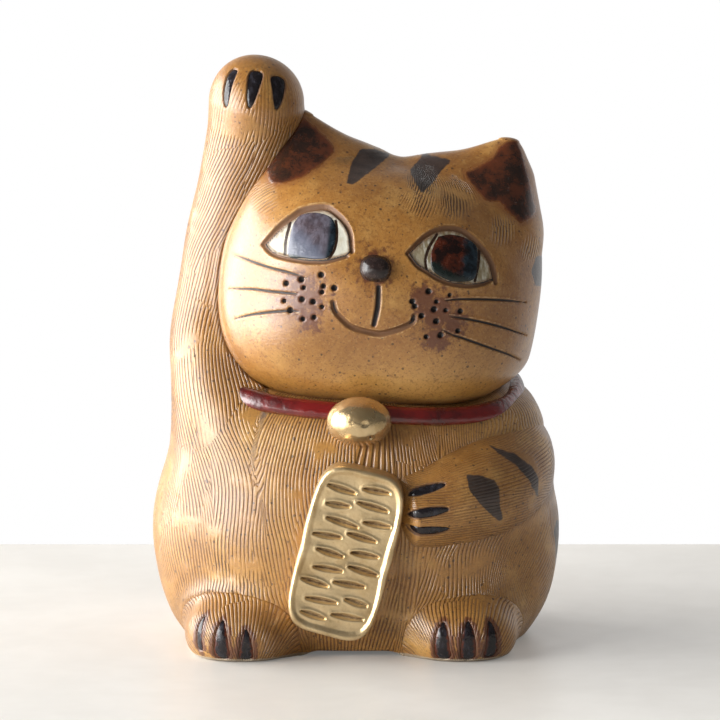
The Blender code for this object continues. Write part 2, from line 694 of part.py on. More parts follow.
# Cutters that several pieces share
block = bmesh.new()
bmesh.ops.create_cube(block, size=1.0)
bmesh.ops.scale(block, verts=block.verts, vec=(BENCH_WIDTH, BENCH_WIDTH, BENCH_CUT))
bmesh.ops.translate(block, verts=block.verts, vec=(0.0, 0.0, -BENCH_CUT / 2))
bench = add_cutter("bench", block)
arch = bmesh.new()
bmesh.ops.create_cube(arch, size=1.0)
bmesh.ops.scale(arch, verts=arch.verts, vec=(FRONT_ARCH_WIDTH, BENCH_WIDTH / 2, 2 * FRONT_ARCH_RISE))
bmesh.ops.translate(arch, verts=arch.verts, vec=(0.0, -BENCH_WIDTH / 4, 0.0))
front_arch = add_cutter("front_arch", arch)
torso_seat = add_cutter("torso_seat", loft(torso_rings(CLEARANCE)))
head_seat = add_cutter("head_seat", head_form(CLEARANCE), head)
head_pocket_floor = add_cutter("head_pocket_floor", head_form(-POCKET_DEPTH), head)
head_white_floor = add_cutter("head_white_floor", head_form(-POCKET_DEPTH + CLEARANCE), head)
head_white_top = add_cutter("head_white_top", head_form(-2 * CLEARANCE), head)
head_iris_floor = add_cutter("head_iris_floor", head_form(-CLEARANCE), head)
head_iris_top = add_cutter("head_iris_top", head_form(GLAZE_SKIN), head)
raised_arm_seat = add_cutter("raised_arm_seat", raised_arm_form(CLEARANCE))
collar_seat = add_cutter("collar_seat", collar_form(CLEARANCE))
coin_arm_seat = add_cutter("coin_arm_seat", limb_on_torso(COIN_ARM_ANGLES, COIN_ARM_STATIONS, COIN_PAW_DOME, CLEARANCE))
coin_seat = add_cutter("coin_seat", coin_form(CLEARANCE))
bell_seat = add_cutter("bell_seat", bell_form(CLEARANCE))

# Pieces
torso_shell()
skull = head_shell()
eye("right", RIGHT_EYE_CORNERS, RIGHT_EYE_LIDS, RIGHT_IRIS, skull)
eye("left", LEFT_EYE_CORNERS, LEFT_EYE_LIDS, LEFT_IRIS, skull)

nose = add_object(
    "nose_button",
    ellipsoid((NOSE_WIDTH / 2, NOSE_PROUD + NOSE_ROOT, NOSE_HEIGHT / 2), 16, 12, 2.4),
    parts,
    nose_glaze,
    head,
)
nose.location = (NOSE_PLACE[0], face_depth(*NOSE_PLACE) + NOSE_ROOT, NOSE_PLACE[1])
cut(nose, head_seat)

raised_arm()
for side_name, side, lift in (("right", -1, RIGHT_EAR_LIFT), ("left", 1, LEFT_EAR_LIFT)):
    ear = add_object(side_name + "_ear", ear_form(side, lift), parts, clay, head)
    cut(ear, head_seat, raised_arm_seat)

collar = add_object("collar_band", collar_form(), parts, collar_glaze)
cut(collar, torso_seat, head_seat, raised_arm_seat)
bell = add_object("bell", bell_form(), parts, gilt)
cut(bell, collar_seat, torso_seat, head_seat)
arm = coin_arm()
coin = add_object("oblong_coin", coin_form(), parts, gilt)
cut(coin, torso_seat, coin_arm_seat, bell_seat)

foot("right", RIGHT_FOOT_X, RIGHT_CLAW_SHIFT)
foot("left", LEFT_FOOT_X, LEFT_CLAW_SHIFT)

tail = add_object("tail", limb_on_torso(TAIL_ANGLES, TAIL_STATIONS, TAIL_DOME), parts, clay)
cut(tail, torso_seat)
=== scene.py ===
"""Lucky cat figurine in combed and honey-glazed stoneware: the surfaces that stand over its solids.

Each lump of clay is a surface worked out on a grid of points in millimetres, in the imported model's
frame: +Z is up, the cat faces -Y, its raised right arm is on -X. "Right" and "left" are the cat's own.
"""
import math

import bpy
import numpy as np
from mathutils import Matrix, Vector


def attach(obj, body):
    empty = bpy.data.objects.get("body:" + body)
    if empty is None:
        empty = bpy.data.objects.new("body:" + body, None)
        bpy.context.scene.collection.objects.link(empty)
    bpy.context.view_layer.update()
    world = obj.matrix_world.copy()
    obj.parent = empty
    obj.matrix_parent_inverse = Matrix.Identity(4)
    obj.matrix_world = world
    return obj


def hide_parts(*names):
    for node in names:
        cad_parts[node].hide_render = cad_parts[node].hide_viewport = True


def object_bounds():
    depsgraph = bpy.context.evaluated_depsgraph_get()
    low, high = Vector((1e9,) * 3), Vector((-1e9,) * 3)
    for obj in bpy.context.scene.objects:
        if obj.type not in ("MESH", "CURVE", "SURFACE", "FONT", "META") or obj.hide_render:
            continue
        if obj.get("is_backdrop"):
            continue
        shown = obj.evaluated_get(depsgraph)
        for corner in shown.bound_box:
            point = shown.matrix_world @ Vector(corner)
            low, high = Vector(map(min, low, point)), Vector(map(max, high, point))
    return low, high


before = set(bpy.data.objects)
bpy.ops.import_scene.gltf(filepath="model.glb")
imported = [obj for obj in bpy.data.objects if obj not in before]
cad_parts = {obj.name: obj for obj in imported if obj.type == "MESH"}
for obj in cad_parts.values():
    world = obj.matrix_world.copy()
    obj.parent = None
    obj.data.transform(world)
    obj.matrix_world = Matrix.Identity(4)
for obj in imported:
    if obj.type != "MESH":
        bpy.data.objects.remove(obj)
cad_low, cad_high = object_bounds()

# Torso. The body is a pot of stoneware, hollow, open underneath and at the neck, beaten a little
# square. It stands on its lower edge, which is wiped clean of glaze before the firing.
MM = 0.001
TORSO = np.array([  # height, half width, reach to the front, reach to the back
    (-6.0, 43.0, 31.0, 33.0), (0.0, 49.2, 36.0, 38.5), (8.0, 54.6, 40.5, 42.0), (18.0, 57.9, 43.0, 43.8),
    (31.0, 59.2, 44.0, 44.4), (42.0, 57.9, 43.6, 43.6), (54.0, 54.6, 42.0, 41.6), (64.0, 52.0, 39.6, 39.4),
    (71.0, 49.6, 36.8, 36.8), (75.0, 45.0, 33.2, 33.6), (78.5, 35.0, 26.5, 27.5), (80.0, 25.0, 18.5, 20.0),
])
TORSO_SQUARENESS = 2.3
LEAN_START, LEAN_END = 40.0, 77.0  # between these heights the sections start to lean with the head
LEAN_SIDE, LEAN_BACK = -0.07, 0.158
BODY_WALL = 6.0
FOOT_EDGE = ((0.0, 0.9), (0.25, 0.35), (0.8, 0.08))  # height and draw-in of the rounded lower edge
ARCH_RISE, ARCH_HALF_WIDTH = 1.5, 15.0  # lift of the lower edge between the feet


def full_turn(count):
    """Angles spaced evenly over a full turn, from 0."""
    return np.linspace(0, 2 * math.pi, count, endpoint=False)


def lengths_along(points):
    """Length passed at each of a row of points."""
    return np.append(0, np.cumsum(np.linalg.norm(np.diff(points, axis=0), axis=1)))


def unit(vectors):
    """Vectors divided by their lengths."""
    return vectors / np.maximum(np.linalg.norm(vectors, axis=-1, keepdims=True), 1e-9)


def smooth_rows(table, count):
    """Rows of values along a smooth curve through a table: cubic steps with shared slopes."""
    place = np.linspace(0, len(table) - 1, count)
    slope = np.gradient(table, axis=0)
    first = np.minimum(place.astype(int), len(table) - 2)
    t = (place - first)[:, None]
    return ((2 * t**3 - 3 * t**2 + 1) * table[first] + (t**3 - 2 * t**2 + t) * slope[first]
            + (3 * t**2 - 2 * t**3) * table[first + 1] + (t**3 - t**2) * slope[first + 1])


def ease(value, low, high):
    """0 at low and 1 at high, with an S-shaped rise between them."""
    share = np.clip((value - low) / (high - low), 0, 1)
    return share * share * (3 - 2 * share)


def section_radius(angle, half_width, front, back, squareness):
    """Reach of a superellipse at an angle: 0 is the front, 90 degrees is +X."""
    across = np.abs(np.sin(angle)) / half_width
    along = np.abs(np.cos(angle)) / np.where(np.cos(angle) > 0, front, back)
    return (across**squareness + along**squareness) ** (-1 / squareness)


def lean(x, y, height):
    """Lift of a place with the tilt of the neck: a slope across plus a slope back, eased in with the height."""
    return (LEAN_SIDE * x + LEAN_BACK * y) * ease(height, LEAN_START, LEAN_END)


TORSO_FINE = smooth_rows(TORSO, 600)
PROFILE_STOPS = smooth_rows(TORSO, 30)[:, 0]


def torso_radius(angle, height):
    """Reach of the torso's section at a height, from the table's sizes there."""
    sizes = (np.interp(height, TORSO_FINE[:, 0], TORSO_FINE[:, i]) for i in (1, 2, 3))
    return section_radius(angle, *sizes, TORSO_SQUARENESS)


def torso_place(angle, height, out=0.0):
    """Points on the torso: each section is a superellipse, lifted by the lean at its place."""
    angle, height = np.broadcast_arrays(np.asarray(angle, float), np.asarray(height, float))
    radius = torso_radius(angle, height) + out
    x, y = radius * np.sin(angle), -radius * np.cos(angle)
    return np.stack([x, y, height + lean(x, y, height)], axis=-1)


def ring_gap(reach, height, radius_at, stops, top):
    """Distance outside a form of level rings, negative inside: the least distance, in the plane of
    reach and height, to the line through its rings, which ends on the axis at the top."""
    best = np.full(len(reach), 1e9)
    low_radius, low_height = radius_at(stops[0]), stops[0]
    for stop in np.append(stops[1:], top):
        radius = radius_at(stop) if stop > low_height and stop < top else 0 * reach
        run, rise = radius - low_radius, stop - low_height
        share = ((reach - low_radius) * run + (height - low_height) * rise) / np.maximum(run**2 + rise**2, 1e-9)
        share = np.clip(share, 0, 1)
        best = np.minimum(best, np.hypot(reach - low_radius - share * run, height - low_height - share * rise))
        low_radius, low_height = radius, stop
    return np.where((reach < radius_at(height)) & (height < top), -best, best)


def torso_gap(points):
    """Distance outside the torso, in the plane of reach and height once its lean is undone."""
    x, y, z = points.T
    height = z
    for step in range(4):
        height = z - lean(x, y, height)
    angle = np.arctan2(x, -y)
    return ring_gap(np.hypot(x, y), height, lambda stop: torso_radius(angle, stop),
                    PROFILE_STOPS, TORSO[-1, 0] + 0.01)


def slope_of(gap, points, step=0.1):
    """A gap at points, and its growth per mm there along x, y and z."""
    here = gap(points)
    return here, np.stack([(gap(points + step * axis) - here) / step for axis in np.eye(3)], axis=1)


def true_gap(level):
    """A level divided by the length of its slope, which is a distance in mm close to the surface."""
    def gap(points):
        here, slope = slope_of(level, points, 0.05)
        return here / np.maximum(np.linalg.norm(slope, axis=1), 1e-6)
    return gap


def grid_normals(grid):
    """Outward directions of a grid whose rows are closed rings: cross product of its two runs."""
    return unit(np.cross(np.roll(grid, -1, axis=1) - np.roll(grid, 1, axis=1), np.gradient(grid, axis=0)))


def run_over(across, along):
    """Length across and length along at each place of a grid."""
    return np.stack(np.broadcast_arrays(across[None, :], along[:, None]), axis=-1)


def skin(name, grid, glaze, node, loop=False, first=None, last=None, run=None):
    """Mesh over a grid of points in mm whose rows are closed rings. Row joins row, and the last the
    first in a loop; first and last are the points that close the two ends otherwise. run holds the
    lengths across and along for the comb, one column more than the grid."""
    rows, columns = grid.shape[:2]
    index = np.arange(rows * columns).reshape(rows, columns)
    lower = index if loop else index[:-1]
    upper = np.roll(index, -1, axis=0) if loop else index[1:]
    quads = np.stack([lower, np.roll(lower, -1, 1), np.roll(upper, -1, 1), upper], axis=-1).reshape(-1, 4)
    points = grid.reshape(-1, 3)
    fans = []
    for pole, ring in ((first, index[0]), (last, index[-1][::-1])):
        if pole is not None:
            tip = np.full(columns, len(points))
            points = np.vstack([points, pole])
            fans.append(np.stack([tip, np.roll(ring, -1), ring], axis=1))
    fans = np.vstack(fans) if fans else np.zeros((0, 3), int)
    corners = points[np.vstack([quads[:, :3], quads[:, [0, 2, 3]], fans])]
    inside_out = np.einsum("ij,ij->i", corners[:, 0], np.cross(corners[:, 1], corners[:, 2])).sum() < 0
    if inside_out:
        quads, fans = quads[:, ::-1], fans[:, ::-1]
    loops = np.concatenate([quads.ravel(), fans.ravel()])
    starts = np.concatenate([np.arange(len(quads)) * 4, len(quads) * 4 + np.arange(len(fans)) * 3])
    mesh = bpy.data.meshes.new(name)
    mesh.vertices.add(len(points))
    mesh.vertices.foreach_set("co", (points * MM).astype(np.float32).ravel())
    mesh.loops.add(len(loops))
    mesh.loops.foreach_set("vertex_index", loops.astype(np.int32))
    mesh.polygons.add(len(starts))
    mesh.polygons.foreach_set("loop_start", starts.astype(np.int32))
    if run is not None:
        wide = np.concatenate([run, run[:1]]) if loop else run
        low, high = wide[:-1], wide[1:]
        square = np.stack([low[:, :-1], low[:, 1:], high[:, 1:], high[:, :-1]], axis=2).reshape(-1, 4, 2)
        tips = [np.stack([(ring[:-1] + ring[1:]) / 2, ring[1:], ring[:-1]], axis=1)
                for pole, ring in ((first, run[0]), (last, run[-1][::-1])) if pole is not None]
        tips = np.vstack(tips) if tips else np.zeros((0, 3, 2))
        if inside_out:
            square, tips = square[:, ::-1], tips[:, ::-1]
        layer = mesh.uv_layers.new(name="run")
        layer.uv.foreach_set("vector", np.concatenate([square.ravel(), tips.ravel()]).astype(np.float32))
    mesh.update(calc_edges=True)
    mesh.validate()
    mesh.shade_smooth()
    mesh.materials.append(glaze.material)
    obj = bpy.data.objects.new(name, mesh)
    bpy.context.scene.collection.objects.link(obj)
    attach(obj, "root")
    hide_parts(node)
    return obj


def points_of(obj):
    """A mesh's points in mm."""
    found = np.empty(len(obj.data.vertices) * 3, np.float32)
    obj.data.vertices.foreach_get("co", found)
    return found.reshape(-1, 3).astype(float) / MM


def normals_of(obj):
    """A mesh's outward directions at its points."""
    found = np.empty(len(obj.data.vertices) * 3, np.float32)
    obj.data.vertex_normals.foreach_get("vector", found)
    return found.reshape(-1, 3).astype(float)


def move_points(obj, points):
    """Puts new places into a mesh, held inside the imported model's box."""
    held = np.clip(points, np.array(cad_low) / MM, np.array(cad_high) / MM)
    obj.data.vertices.foreach_set("co", (held * MM).astype(np.float32).ravel())
    obj.data.update()


def write_value(obj, name, values):
    """Writes a number for each point of a mesh, which its glaze reads by that name."""
    layer = obj.data.attributes.get(name) or obj.data.attributes.new(name, "FLOAT", "POINT")
    layer.data.foreach_set("value", np.asarray(values, np.float32))


class Glaze:
    """A material being built. Each method adds shader nodes, takes sockets or plain values, and gives
    back a socket. Its place is the object's coordinates in mm."""

    def __init__(self, name):
        self.material = bpy.data.materials.new(name)
        self.material.use_nodes = True
        self.shader = self.material.node_tree.nodes["Principled BSDF"]
        coordinates = self.node("TexCoord").outputs["Object"]
        self.place = self.calc("SCALE", coordinates, kind="VectorMath", Scale=1 / MM)

    def fill(self, node, inputs):
        """Links sockets to a node's inputs, or sets values there. An input is named, or numbered i0 on."""
        for name, value in inputs.items():
            socket = node.inputs[int(name[1:]) if name[1:].isdigit() else name.replace("_", " ")]
            if isinstance(value, bpy.types.NodeSocket):
                self.material.node_tree.links.new(value, socket)
            else:
                socket.default_value = value

    def node(self, kind, settings=(), **inputs):
        """A shader node with its settings and its inputs."""
        made = self.material.node_tree.nodes.new("ShaderNode" + kind)
        for name, value in dict(settings).items():
            setattr(made, name, value)
        self.fill(made, inputs)
        return made

    def calc(self, operation, *values, kind="Math", **inputs):
        """An operation on numbers, or on vectors where the kind says so."""
        numbered = {f"i{number}": value for number, value in enumerate(values)}
        return self.node(kind, {"operation": operation}, **numbered, **inputs).outputs[0]

    def times(self, value, factor, plus=0.0):
        """value * factor + plus."""
        return self.calc("MULTIPLY_ADD", value, factor, plus)

    def step(self, value, low, high):
        """0 below low, 1 above high, S-shaped between."""
        settings = {"interpolation_type": "SMOOTHSTEP"}
        return self.node("MapRange", settings, Value=value, From_Min=low, From_Max=high).outputs[0]

    def attribute(self, name):
        """The value of that name written on the mesh's points."""
        return self.node("Attribute", {"attribute_name": name}).outputs["Fac"]

    def noise(self, scale, detail=2.0, roughness=0.5, upright=1.0):
        """Cloudy noise over the place, drawn out upwards where upright is under 1."""
        place = self.place
        if upright != 1.0:
            place = self.calc("MULTIPLY", place, (1.0, 1.0, upright), kind="VectorMath")
        return self.node("TexNoise", Vector=place, Scale=scale, Detail=detail, Roughness=roughness).outputs["Fac"]

    def blend(self, factor, first, second):
        """The first colour where the factor is 0, the second where it is 1."""
        first, second = ((*colour, 1) if isinstance(colour, tuple) else colour for colour in (first, second))
        return self.node("Mix", {"data_type": "RGBA"}, i0=factor, i6=first, i7=second).outputs[2]

    def over(self, colour, coat, amount, share=1.0):
        """A colour with a coat of another over it, as far as the amount times the share."""
        return self.blend(self.times(amount, share), colour, coat)

    def finish(self, colour, roughness, height, depth, strength=1.0, **others):
        """Sets the surface: its colour, its roughness, a bump of that height times depth in mm."""
        bump = self.node("Bump", Height=height, Strength=strength, Distance=depth * MM).outputs[0]
        self.fill(self.shader, {"Base Color": colour, "Roughness": roughness, "Normal": bump, **others})


COMB_PITCH = 1.05  # mm from line to line, where a pull's own density, 0.8 to 1.1, is 1
COMB_CELL = (15.0, 38.0, 1.0)  # width and height of one pull of the comb, in mm
COMB_SWAY, COMB_WOBBLE = 16.0, 1.6  # mm that a cell's edge, and a line, stray to the side
COMB_TURN = 0.5  # the span of the turns of the pulls against the lay, in radians


def comb_marks(glaze):
    """Grooves of a toothed rib: their brown, and their depth, 0 on the ridges and 1 in the grooves. The
    surface is parted into tall cells, each one pull of the comb: its lines lie along the lay of that
    place, turned a little. The wave is the sine of the way across times the density."""
    run = glaze.node("UVMap", {"uv_map": "run"}).outputs[0]

    def unsteady(scale, detail, output="Fac"):
        made = glaze.node("TexNoise", {"noise_dimensions": "2D"}, Vector=run, Scale=scale, Detail=detail)
        return made.outputs[output]

    def vector(operation, *values, **inputs):
        return glaze.calc(operation, *values, kind="VectorMath", **inputs)

    bent = vector("ADD", run, vector("SCALE", unsteady(0.035, 1.0, "Color"), Scale=COMB_SWAY))
    squeezed = vector("DIVIDE", bent, COMB_CELL)
    cells = glaze.node("TexVoronoi", {"voronoi_dimensions": "2D"}, Vector=squeezed, Scale=1.0).outputs
    local = vector("SUBTRACT", run, vector("MULTIPLY", cells["Position"], COMB_CELL))
    parts = glaze.node("SeparateXYZ", i0=local).outputs
    chance = glaze.node("SeparateColor", i0=cells["Color"]).outputs
    angle = glaze.calc("ADD", glaze.attribute("lay"), glaze.times(chance[0], COMB_TURN, -COMB_TURN / 2))
    across = glaze.calc("SUBTRACT", glaze.times(parts[0], glaze.calc("COSINE", angle)),
                        glaze.times(parts[1], glaze.calc("SINE", angle)))
    across = glaze.times(unsteady(0.05, 1.0), COMB_WOBBLE, across)
    full = 2 * math.pi / COMB_PITCH
    wave = glaze.calc("SINE", glaze.times(across, glaze.times(chance[1], full * 0.30, full * 0.80)))
    tooth = glaze.step(glaze.times(unsteady(0.35, 2.0), 1.1, wave), 0.85, 1.45)
    hollow = glaze.step(wave, -0.3, 0.90)
    pressure = glaze.step(unsteady(0.09, 2.0), 0.28, 0.52)
    pull = glaze.times(chance[2], 0.65, 0.35)
    depth = glaze.times(glaze.times(pressure, pull), glaze.attribute("comb"))
    return glaze.times(tooth, depth), glaze.times(hollow, depth)


HONEY_DARK, HONEY, HONEY_LIGHT = (0.265, 0.104, 0.019), (0.43, 0.190, 0.036), (0.58, 0.320, 0.090)
FLECK_BROWN, GRAIN_BROWN, GRAIN_PALE = (0.24, 0.090, 0.020), (0.17, 0.066, 0.018), (0.66, 0.40, 0.13)
RIDGE_PALE, COMB_BROWN, SPECK_BROWN = (0.70, 0.41, 0.13), (0.115, 0.046, 0.015), (0.07, 0.03, 0.012)
STAIN_BROWN, SEAM_BROWN = (0.120, 0.030, 0.011), (0.13, 0.052, 0.018)
IRON_HALO, IRON_RED, IRON_BLACK = (0.22, 0.070, 0.018), (0.135, 0.033, 0.012), (0.016, 0.008, 0.007)
SLATE_WASH, SLATE_THIN = (0.019, 0.015, 0.017), (0.050, 0.035, 0.033)
BURR_PALE, GROOVE_BROWN, GROOVE_LIGHT = (0.62, 0.42, 0.20), (0.085, 0.032, 0.009), (0.20, 0.080, 0.022)
PIT_BLACK, BARE_CLAY = (0.012, 0.006, 0.005), (0.52, 0.41, 0.29)

clay = Glaze("honey_glazed_stoneware")
mottle = clay.noise(0.32, 5.0, 0.65)
ragged = clay.times(clay.noise(0.6, 3.0), 0.5, -0.25)
combed, hollowed = comb_marks(clay)
ridge = clay.calc("SUBTRACT", clay.attribute("comb"), clay.times(hollowed, 1.4))
grit = clay.node("TexVoronoi", Vector=clay.place, Scale=0.52).outputs
grit_chance = clay.node("SeparateColor", i0=grit["Color"]).outputs
near_grit = clay.calc("LESS_THAN", grit["Distance"], clay.times(grit_chance[1], 0.15, 0.07))
specks = clay.times(near_grit, clay.calc("GREATER_THAN", grit_chance[0], 0.42))
blotched = clay.times(clay.noise(0.50, 5.0, 0.7), 2.6, -1.3)
stain = clay.step(clay.calc("ADD", clay.attribute("stain"), blotched), 0.22, 0.75)
laid = clay.times(ragged, 0.4, clay.attribute("iron"))
iron = clay.step(laid, 0.40, 0.60)
iron_edge = clay.times(clay.step(laid, 0.45, 0.85), -0.55, 0.55)
iron_pool = clay.times(clay.step(clay.noise(0.17, 5.0, 0.7), 0.40, 0.66), 0.75, iron_edge)
wash = clay.step(clay.times(ragged, 0.5, clay.attribute("wash")), 0.42, 0.58)
streaked = clay.step(clay.noise(0.22, 4.0, 0.6), 0.36, 0.68)
burr = clay.step(clay.times(clay.noise(0.8, 3.0), -0.9, clay.attribute("burr")), 0.30, 0.50)
cut, pit = clay.step(clay.attribute("groove"), 0.42, 0.62), clay.attribute("pit")
bare = clay.step(clay.times(ragged, 0.6, clay.attribute("bare")), 0.45, 0.55)

colour = clay.over(HONEY_DARK, HONEY, clay.step(clay.noise(0.028, 3.0, 0.6), 0.35, 0.62))
colour = clay.over(colour, HONEY_LIGHT, clay.step(clay.noise(0.06, 4.0, 0.6), 0.48, 0.75))
darker, lighter = clay.blend(0.22, colour, HONEY_DARK), clay.blend(0.18, colour, HONEY_LIGHT)
colour = clay.blend(clay.step(mottle, 0.35, 0.75), darker, lighter)
for coat, amount, share in (  # from the clay's own colour up to what lies on top
    # painted light on the chin and the left shoulder, and painted shade on the right cheek and the raised arm
    (HONEY_LIGHT, clay.attribute("thin"), 1.0),
    (HONEY_DARK, clay.attribute("thick"), 1.0),
    (FLECK_BROWN, clay.step(clay.noise(0.8, 5.0, 0.7), 0.50, 0.70), 0.50),
    (GRAIN_BROWN, clay.step(clay.noise(1.25, 3.0, 0.6), 0.54, 0.66), 0.58),
    (GRAIN_PALE, clay.step(clay.noise(0.95, 4.0, 0.6), 0.53, 0.66), 0.20),
    (RIDGE_PALE, ridge, 0.15),
    (COMB_BROWN, combed, 0.80),
    (SPECK_BROWN, specks, 0.8),
    (STAIN_BROWN, stain, 0.88),
    (SEAM_BROWN, clay.attribute("seam"), 0.75),
    (IRON_HALO, clay.step(laid, 0.10, 0.45), 0.55),
    (clay.blend(iron_pool, IRON_BLACK, IRON_RED), iron, 0.96),
    (clay.blend(streaked, SLATE_WASH, SLATE_THIN), wash, 0.93),
    (BURR_PALE, burr, 0.6),
    (clay.blend(mottle, GROOVE_BROWN, GROOVE_LIGHT), cut, 0.90),
    (PIT_BLACK, clay.step(pit, 0.44, 0.56), 1.0),
    (BARE_CLAY, bare, 1.0),
):
    colour = clay.over(colour, coat, amount, share)
rough = clay.times(mottle, 0.18, 0.22)
unglazed = clay.calc("MAXIMUM", bare, clay.calc("MAXIMUM", cut, pit))
for amount, share in ((combed, 0.10), (iron, -0.14), (unglazed, 0.35)):
    rough = clay.times(amount, share, rough)
height = clay.times(mottle, 0.28)
skin_grain = clay.noise(1.5, 3.0, 0.6)
for amount, share in ((combed, -0.35), (hollowed, -0.85), (skin_grain, 0.22), (specks, -0.25), (iron, 0.35)):
    height = clay.times(amount, share, height)
clay.finish(colour, rough, height, 0.32, Specular_IOR_Level=0.85)

TORSO_COLUMNS, TORSO_STEP = 400, 0.85  # points round the torso, and mm from ring to ring
SHOULDER = 2.4  # how far the left one swells over the end of the collar
torso_angles = full_turn(TORSO_COLUMNS)
profile = TORSO_FINE[TORSO_FINE[:, 0] > 0.8]
length = lengths_along(profile[:, :2])
heights = np.interp(np.arange(0, length[-1], TORSO_STEP), length, profile[:, 0])
edge = np.array([torso_place(torso_angles, height, -draw) for height, draw in FOOT_EDGE])
side = torso_place(torso_angles[None, :], heights[:, None])
side[..., 0] += SHOULDER * ease(side[..., 0], 22, 46) * np.exp(-(((side[..., 2] - 68) / 8) ** 2))
outer = np.concatenate([edge, side])
inner = (outer - grid_normals(outer) * BODY_WALL)[::6]
inner[0, :, 2] = 0.0
grid = np.concatenate([outer, inner[::-1]])
beside_arch = ease(np.abs(grid[..., 0]), ARCH_HALF_WIDTH - 5, ARCH_HALF_WIDTH + 5)
grid[..., 2] = np.maximum(grid[..., 2], ARCH_RISE * (1 - beside_arch) * (grid[..., 1] < 0))
girth = lengths_along(np.vstack([side[60], side[60, :1]]))
torso = skin("torso", grid, clay, "torso_shell", loop=True, run=run_over(girth, lengths_along(grid[:, 0])))
lumps = {  # mesh, its gap, which of its points are on the outside, and the shape of its grid
    "torso": (torso, torso_gap, np.arange(grid[..., 0].size) < outer[..., 0].size, grid.shape),
}

# Head. A second hollow form, wider than it is deep, set down into the open neck and tipped towards
# the left ear. Its jaw is squarer than its crown, and a hole under the jaw lets the air out.
HEAD_PLACE = np.array([6.3, -2.0, 104.0])
HEAD_ROLL = math.radians(8.0)
HEAD_TURN = np.array([
    [math.cos(HEAD_ROLL), 0, math.sin(HEAD_ROLL)], [0, 1, 0], [-math.sin(HEAD_ROLL), 0, math.cos(HEAD_ROLL)],
])
HEAD_HALF_WIDTH, HEAD_UP, HEAD_DOWN, HEAD_FRONT, HEAD_BACK = 46.3, 35.2, 35.0, 40.0, 38.5
CROWN_SQUARENESS, JAW_SQUARENESS, DEPTH_SQUARENESS, JAW_FULLNESS = 2.4, 3.3, 2.3, 1.3
JAW_SLANT = 0.09
HEAD_WALL = 5.5
NECK_HOLE_ANGLE = math.radians(148.0)  # from the crown down to the rim of the hole
HEAD_RUN_ROUND, HEAD_RUN_DOWN = 43.0, 40.0  # mm of the comb's run to a radian


def to_head(points):
    """Points in the head's own directions, measured from its middle."""
    return (points - HEAD_PLACE) @ HEAD_TURN


def from_head(points):
    """Points of the head's own directions in the model's frame."""
    return points @ HEAD_TURN.T + HEAD_PLACE


def head_size(direction):
    """Reach of the head in a direction: superellipses whose squareness grows from crown to jaw."""
    across, depth, up = np.moveaxis(direction, -1, 0)
    vertical = np.where(up > 0, HEAD_UP, HEAD_DOWN)
    outline = np.where(up > 0, CROWN_SQUARENESS, JAW_SQUARENESS)
    reach = np.where(depth < 0, HEAD_FRONT, HEAD_BACK)
    fullness = DEPTH_SQUARENESS + JAW_FULLNESS * np.clip(-up, 0, 1) ** 2
    ring = (np.abs(across) / HEAD_HALF_WIDTH) ** outline + (np.abs(up) / vertical) ** outline
    return (ring ** (fullness / outline) + (np.abs(depth) / reach) ** fullness) ** (-1 / fullness)


def slanted(local, way=1.0):
    """The jaw's slope: height added in proportion to the place across, growing downwards."""
    below = np.clip(-local[..., 2] / HEAD_DOWN, 0, 1)
    return local + np.stack([0 * below, 0 * below, way * JAW_SLANT * local[..., 0] * below**2], axis=-1)


def head_level(points):
    """Distance from the head's middle less the head's reach that way, with the jaw's slope undone."""
    local = slanted(to_head(points), -1.0)
    reach = np.linalg.norm(local, axis=1)
    return reach - head_size(local / reach[:, None])


def directions(polar, azimuth):
    """Unit vectors at angles down from straight up, and round from the front."""
    polar, azimuth = np.meshgrid(polar, azimuth, indexing="ij")
    return np.stack([np.sin(polar) * np.sin(azimuth), -np.sin(polar) * np.cos(azimuth), np.cos(polar)], axis=-1)


fine_angles = np.linspace(-math.pi, math.pi, 4001)
crowding = np.cumsum(0.18 + 0.82 * ease(-np.abs(fine_angles), -math.radians(118), -math.radians(72)))
head_angles = np.interp(np.linspace(0, 1, 401)[:-1], crowding / crowding[-1], fine_angles)  # closer on the face
head_polar = np.concatenate([
    np.radians(np.linspace(1.0, 50, 45, endpoint=False)),
    np.radians(np.linspace(50, 120, 142, endpoint=False)),
    np.linspace(math.radians(120), NECK_HOLE_ANGLE, 26),
])
direction = directions(head_polar, head_angles)
outer = slanted(direction * head_size(direction)[..., None])
inner = (outer + grid_normals(outer) * HEAD_WALL)[::12]
grid = np.concatenate([outer, inner[::-1]])
crown = np.array([0.0, 0.0, HEAD_UP])
lengths = np.concatenate([head_polar, NECK_HOLE_ANGLE + head_polar[::12]])
run = run_over(np.append(head_angles, head_angles[0] + 2 * math.pi) * HEAD_RUN_ROUND, lengths * HEAD_RUN_DOWN)
head = skin("head", from_head(grid), clay, "head_shell", first=from_head(crown),
            last=from_head(crown - [0, 0, HEAD_WALL]), run=run)
outside = np.append(np.arange(grid[..., 0].size) < outer[..., 0].size, [True, False])
lumps["head"] = (head, true_gap(head_level), outside, grid.shape)

# Ears. Two pinches of clay drawn up from the crown, steep outside and long inside, with no seam
# left between them and the head. The right one leans against the raised paw.
EAR_SPREAD, EAR_SHIFT, EAR_SEAT, EAR_TIP = 30.5, 1.8, 16.5, 32.0
EAR_RUN = 75.0  # mm of the comb's run round an ear
EARS = np.array([  # rise over the seat, reach towards the crown, reach outwards, half depth
    (0.0, 14.0, 9.6, 11.0), (6.0, 20.0, 11.2, 14.0), (13.0, 23.5, 10.3, 13.5), (20.0, 24.0, 8.9, 11.0),
    (23.0, 20.5, 7.9, 9.2), (26.0, 14.0, 6.2, 7.0), (29.0, 8.0, 4.4, 4.6), (31.0, 3.6, 2.8, 2.6),
])


def crown_height(across):
    """Height of the crown's outline over the head's middle: the superellipse of the crown."""
    return HEAD_UP * (1 - (np.abs(across) / HEAD_HALF_WIDTH) ** CROWN_SQUARENESS) ** (1 / CROWN_SQUARENESS)


